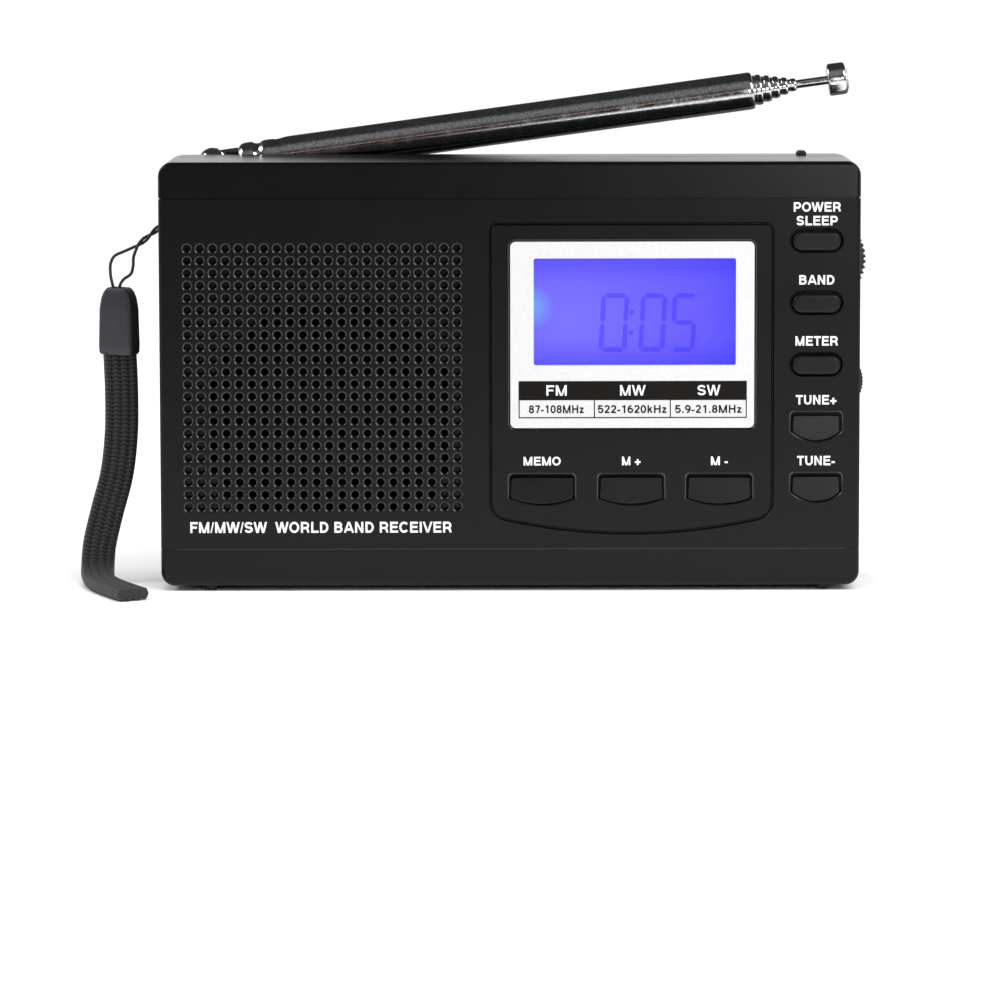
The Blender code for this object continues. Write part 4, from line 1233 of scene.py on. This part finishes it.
# ---- wrist strap --------------------------------------------------------------------------------------------------
CORD_RADIUS = 0.27
BAND_HALF, BAND_THICK = 2.9, 1.0
HOLE = Vector((-58.9, 3.9, 61.9))
CROSSING = Vector((-64.3, 2.2, 57.5))
LEFT_STRAND = [(-66.6, 2.0, 56.5), (-68.3, 1.8, 55.7), (-69.0, 1.6, 54.3), (-69.0, 1.5, 52.4), (-68.7, 1.5, 50.9),
               (-68.4, 1.5, 49.8)]
RIGHT_STRAND = [(-65.0, 2.0, 55.6), (-65.1, 1.8, 54.0), (-65.5, 1.6, 52.6), (-66.6, 1.5, 51.8), (-67.3, 1.5, 50.9),
                (-67.5, 1.5, 49.8)]
BAND_PATH = [(-67.6, 1.5, 39.6), (-67.5, 1.5, 38.3), (-67.3, 1.5, 32.0), (-67.4, 1.3, 25.0), (-68.2, 0.9, 18.0),
             (-69.9, 0.4, 11.5), (-71.2, -0.3, 6.0), (-71.5, -1.8, 2.3), (-71.3, -4.6, 0.7), (-70.4, -9.0, 0.3),
             (-68.4, -14.5, 0.3), (-65.8, -20.0, 0.3), (-64.2, -23.0, 0.3)]


def smooth_path(points, per=8):
    """Points on a Catmull-Rom curve through the given ones."""
    points = [Vector(p) for p in points]
    ends = [points[0] * 2 - points[1]] + points + [points[-1] * 2 - points[-2]]
    path = []
    for a, b, c, d in zip(ends, ends[1:], ends[2:], ends[3:]):
        for i in range(per):
            t = i / per
            path.append(0.5 * ((2 * b) + (c - a) * t + (2 * a - 5 * b + 4 * c - d) * t**2
                               + (3 * b - a - 3 * c + d) * t**3))
    return path + [points[-1]]


def heading(path, i):
    """The way that a path runs at one of its points."""
    return (path[min(i + 1, len(path) - 1)] - path[max(i - 1, 0)]).normalized()


def tube_along(path, radius, sides=12):
    build = bmesh.new()
    rings = []
    normal = Vector((0, 1, 0))
    for i, place in enumerate(path):
        ahead = heading(path, i)
        normal = (normal - ahead * normal.dot(ahead)).normalized()
        side = ahead.cross(normal)
        angles = [tau * k / sides for k in range(sides)]
        rings.append([build.verts.new(world(place + (normal * cos(a) + side * sin(a)) * radius)) for a in angles])
    skinned(build, rings)
    return mesh_of(build)


def make_strap():
    line = CROSSING - HOLE
    across = line.cross(Vector((0, 1, 0))).normalized()
    over = line.cross(across).normalized()
    strands = []
    steps, turns, apart = 24, 1.25, 0.29
    for side in (1, -1):
        twist = []
        for i in range(steps + 1):
            turn = side * pi / 2 + tau * turns * i / steps
            twist.append(HOLE + line * i / steps + (across * sin(turn) + over * cos(turn)) * apart)
        strands.append(twist)
    route = [Vector(p) for p in LEFT_STRAND[::-1]] + strands[0][::-1] + [HOLE + Vector((0.9, 0, 0))] + strands[1]
    route += [Vector(p) for p in RIGHT_STRAND]
    path = smooth_path(route, 5)
    cord = piece("strap_cord_fine", tube_along(path, CORD_RADIUS), CORD, "radio", "strap_cord", smooth=60)
    slider = make_slider()
    band, path = make_band()


def make_slider():
    """A hollow moulding, open at its top where the cord enters, turned a little so that its right side shows."""
    # Height, half width and half thickness.
    shape = ((38.7, 3.0, 1.6), (39.1, 3.25, 1.85), (40.3, 3.3, 1.9), (46.6, 3.12, 1.9), (48.4, 2.85, 1.75),
             (49.5, 2.45, 1.55), (50.1, 2.0, 1.3), (50.3, 1.7, 1.1), (50.3, 1.3, 0.75), (49.3, 1.2, 0.65))
    turn = Matrix.Rotation(radians(-24), 2)
    build = bmesh.new()
    rings = []
    for z, half, thick in shape:
        ring = []
        for u, v in round_rect(-half, -thick, half, thick, min(half, thick) * 0.4, 5):
            flat = turn @ Vector((u, v))
            ring.append(build.verts.new(world((flat.x - 67.6, flat.y + 1.5, z))))
        rings.append(ring)
    skinned(build, rings)
    return piece("strap_slider_fine", mesh_of(build), SLIDER, "radio", "strap_slider", smooth=50)


def band_section(half, thick):
    """Half of the band's outline: four rounded plaits across its width; the other half mirrors it."""
    plaits, fine = 4, 8
    loop = []
    for i in range(plaits * fine + 1):
        t = i / (plaits * fine)
        x = half * (1 - 2 * t)
        bulge = abs(sin(pi * plaits * t)) ** 0.6
        ends = min(1.0, (sin(pi * t) * 4) ** 0.5) if 0 < t < 1 else 0.0
        loop.append((x, thick * (0.62 + 0.38 * bulge) * ends, t))
    return loop


def make_band():
    path = smooth_path(BAND_PATH, 10)
    build = bmesh.new()
    uv = build.loops.layers.uv.new("UVMap")
    rings, far = [], 0.0
    top = band_section(BAND_HALF, BAND_THICK)
    count = len(path)
    level = Vector((1, 0, 0))
    for i, place in enumerate(path):
        ahead = heading(path, i)
        # Its width stays level: along the case while it hangs, and square to its run once it lies down.
        lying = min(1.0, max(0.0, (i / (count - 1) - 0.5) / 0.25))
        if lying:
            level = Vector((1, 0, 0)).lerp(Vector((-ahead.y, ahead.x, 0)).normalized(), lying)
        side = (level - ahead * level.dot(ahead)).normalized()
        face = side.cross(ahead)
        loop = [(u, v, s) for u, v, s in top] + [(u, -v, s) for u, v, s in top[::-1][1:-1]]
        ring = [build.verts.new(world(place + side * u + face * v)) for u, v, _ in loop]
        rings.append((ring, [s for _, _, s in loop], far))
        if i + 1 < count:
            far += (path[i + 1] - place).length
    size = len(rings[0][0])
    for (first, across, v0), (second, _, v1) in zip(rings, rings[1:]):
        for i in range(size):
            j = (i + 1) % size
            face = build.faces.new((first[i], first[j], second[j], second[i]))
            places = ((across[i], v0), (across[j], v0), (across[j], v1), (across[i], v1))
            for corner, (u, v) in zip(face.loops, places):
                corner[uv].uv = (u * 4, v)
    build.faces.new(rings[0][0])
    build.faces.new(rings[-1][0])
    return piece("strap_band_fine", mesh_of(build), BAND, "radio", "strap_band", smooth=70), path


# ---- inside ----------------------------------------------------------------------------------------------------------
def dress_inside():
    looks = {
        "lcd_backlight": plastic("light_guide", (0.6, 0.62, 0.8), 0.3),
        "lcd_holder": plastic("holder_plastic", (0.45, 0.45, 0.43), 0.5),
        "main_board": solder_mask(),
        "tuner_shield": STEEL,
        "control_chip": plastic("chip_resin", (0.015, 0.015, 0.016), 0.55),
        # The speaker frame is near black: painted shade, so that it reads dark through the grille's holes.
        "speaker_frame": steel("speaker_steel", (0.02, 0.02, 0.021), 0.6),
        # In the banded looks the first colour is painted shade in the grooves between rings, the last painted highlight
        # on their crests.
        "speaker_cone": banded("cone_paper", [(0.2, (0.010,) * 3), (0.8, (0.025, 0.025, 0.024))], 1, 1.2, 0.9),
        "speaker_magnet": steel("magnet_steel", (0.12, 0.12, 0.12), 0.5),
        "ferrite_rod": plastic("ferrite", (0.05, 0.048, 0.045), 0.7, grain=2.0, depth=0.03),
        "ferrite_coil": banded("copper_wire", [(0.2, (0.20, 0.06, 0.02)), (0.8, (0.75, 0.30, 0.10))],
                               0, 0.35, 0.3, 0.9),
        "volume_pot": plastic("pot_plastic", (0.08, 0.08, 0.08), 0.5),
        "earphone_jack": plastic("jack_plastic", (0.02, 0.02, 0.02), 0.3),
        "dc_jack": plastic("dc_jack_plastic", (0.02, 0.02, 0.02), 0.3),
    }
    for name, node in frame["nodes"].items():
        if name.startswith("contact_") or name.endswith("_switch") and name != "lock_switch":
            looks[name] = STEEL
        if name in looks and not node.hide_render:
            node.data.materials.clear()
            node.data.materials.append(looks[name])


def make_cells():
    """Two AA cells, laid opposite ways: rolled edges, a stepped positive end with its nub."""
    profile = [
        (0, 50.5), (2.35, 50.5), (2.6, 50.25), (2.65, 49.3), (2.9, 49.1), (4.6, 49.1), (5.4, 48.85), (6.3, 48.95),
        (6.85, 48.75), (7.15, 48.25), (7.2, 47.6), (7.2, 0.7), (7.1, 0.3), (6.8, 0.06), (6.4, 0), (0, 0),
    ]
    for node, way in (("battery_1", 1), ("battery_2", -1)):
        foot, centre = edges(node)[0 if way == 1 else 3], middle(node)
        place = (foot, centre.y, centre.z)
        mesh = turned(profile, pointing(place, (way, 0, 0)), steps=72)
        piece(f"{node}_fine", mesh, cell_sleeve(node, way), "radio", node, smooth=30)


make_camera()
make_studio()
make_strap()
make_front_shell()
make_rear_shell()
make_cover_and_stand()
make_screws()
make_keys()
make_wheel()
make_lock()
make_table(make_window())
make_lcd()
make_legends()
make_antenna()
make_cells()
dress_inside()
bpy.context.scene.view_settings.view_transform = "Standard"
bpy.context.view_layer.update()
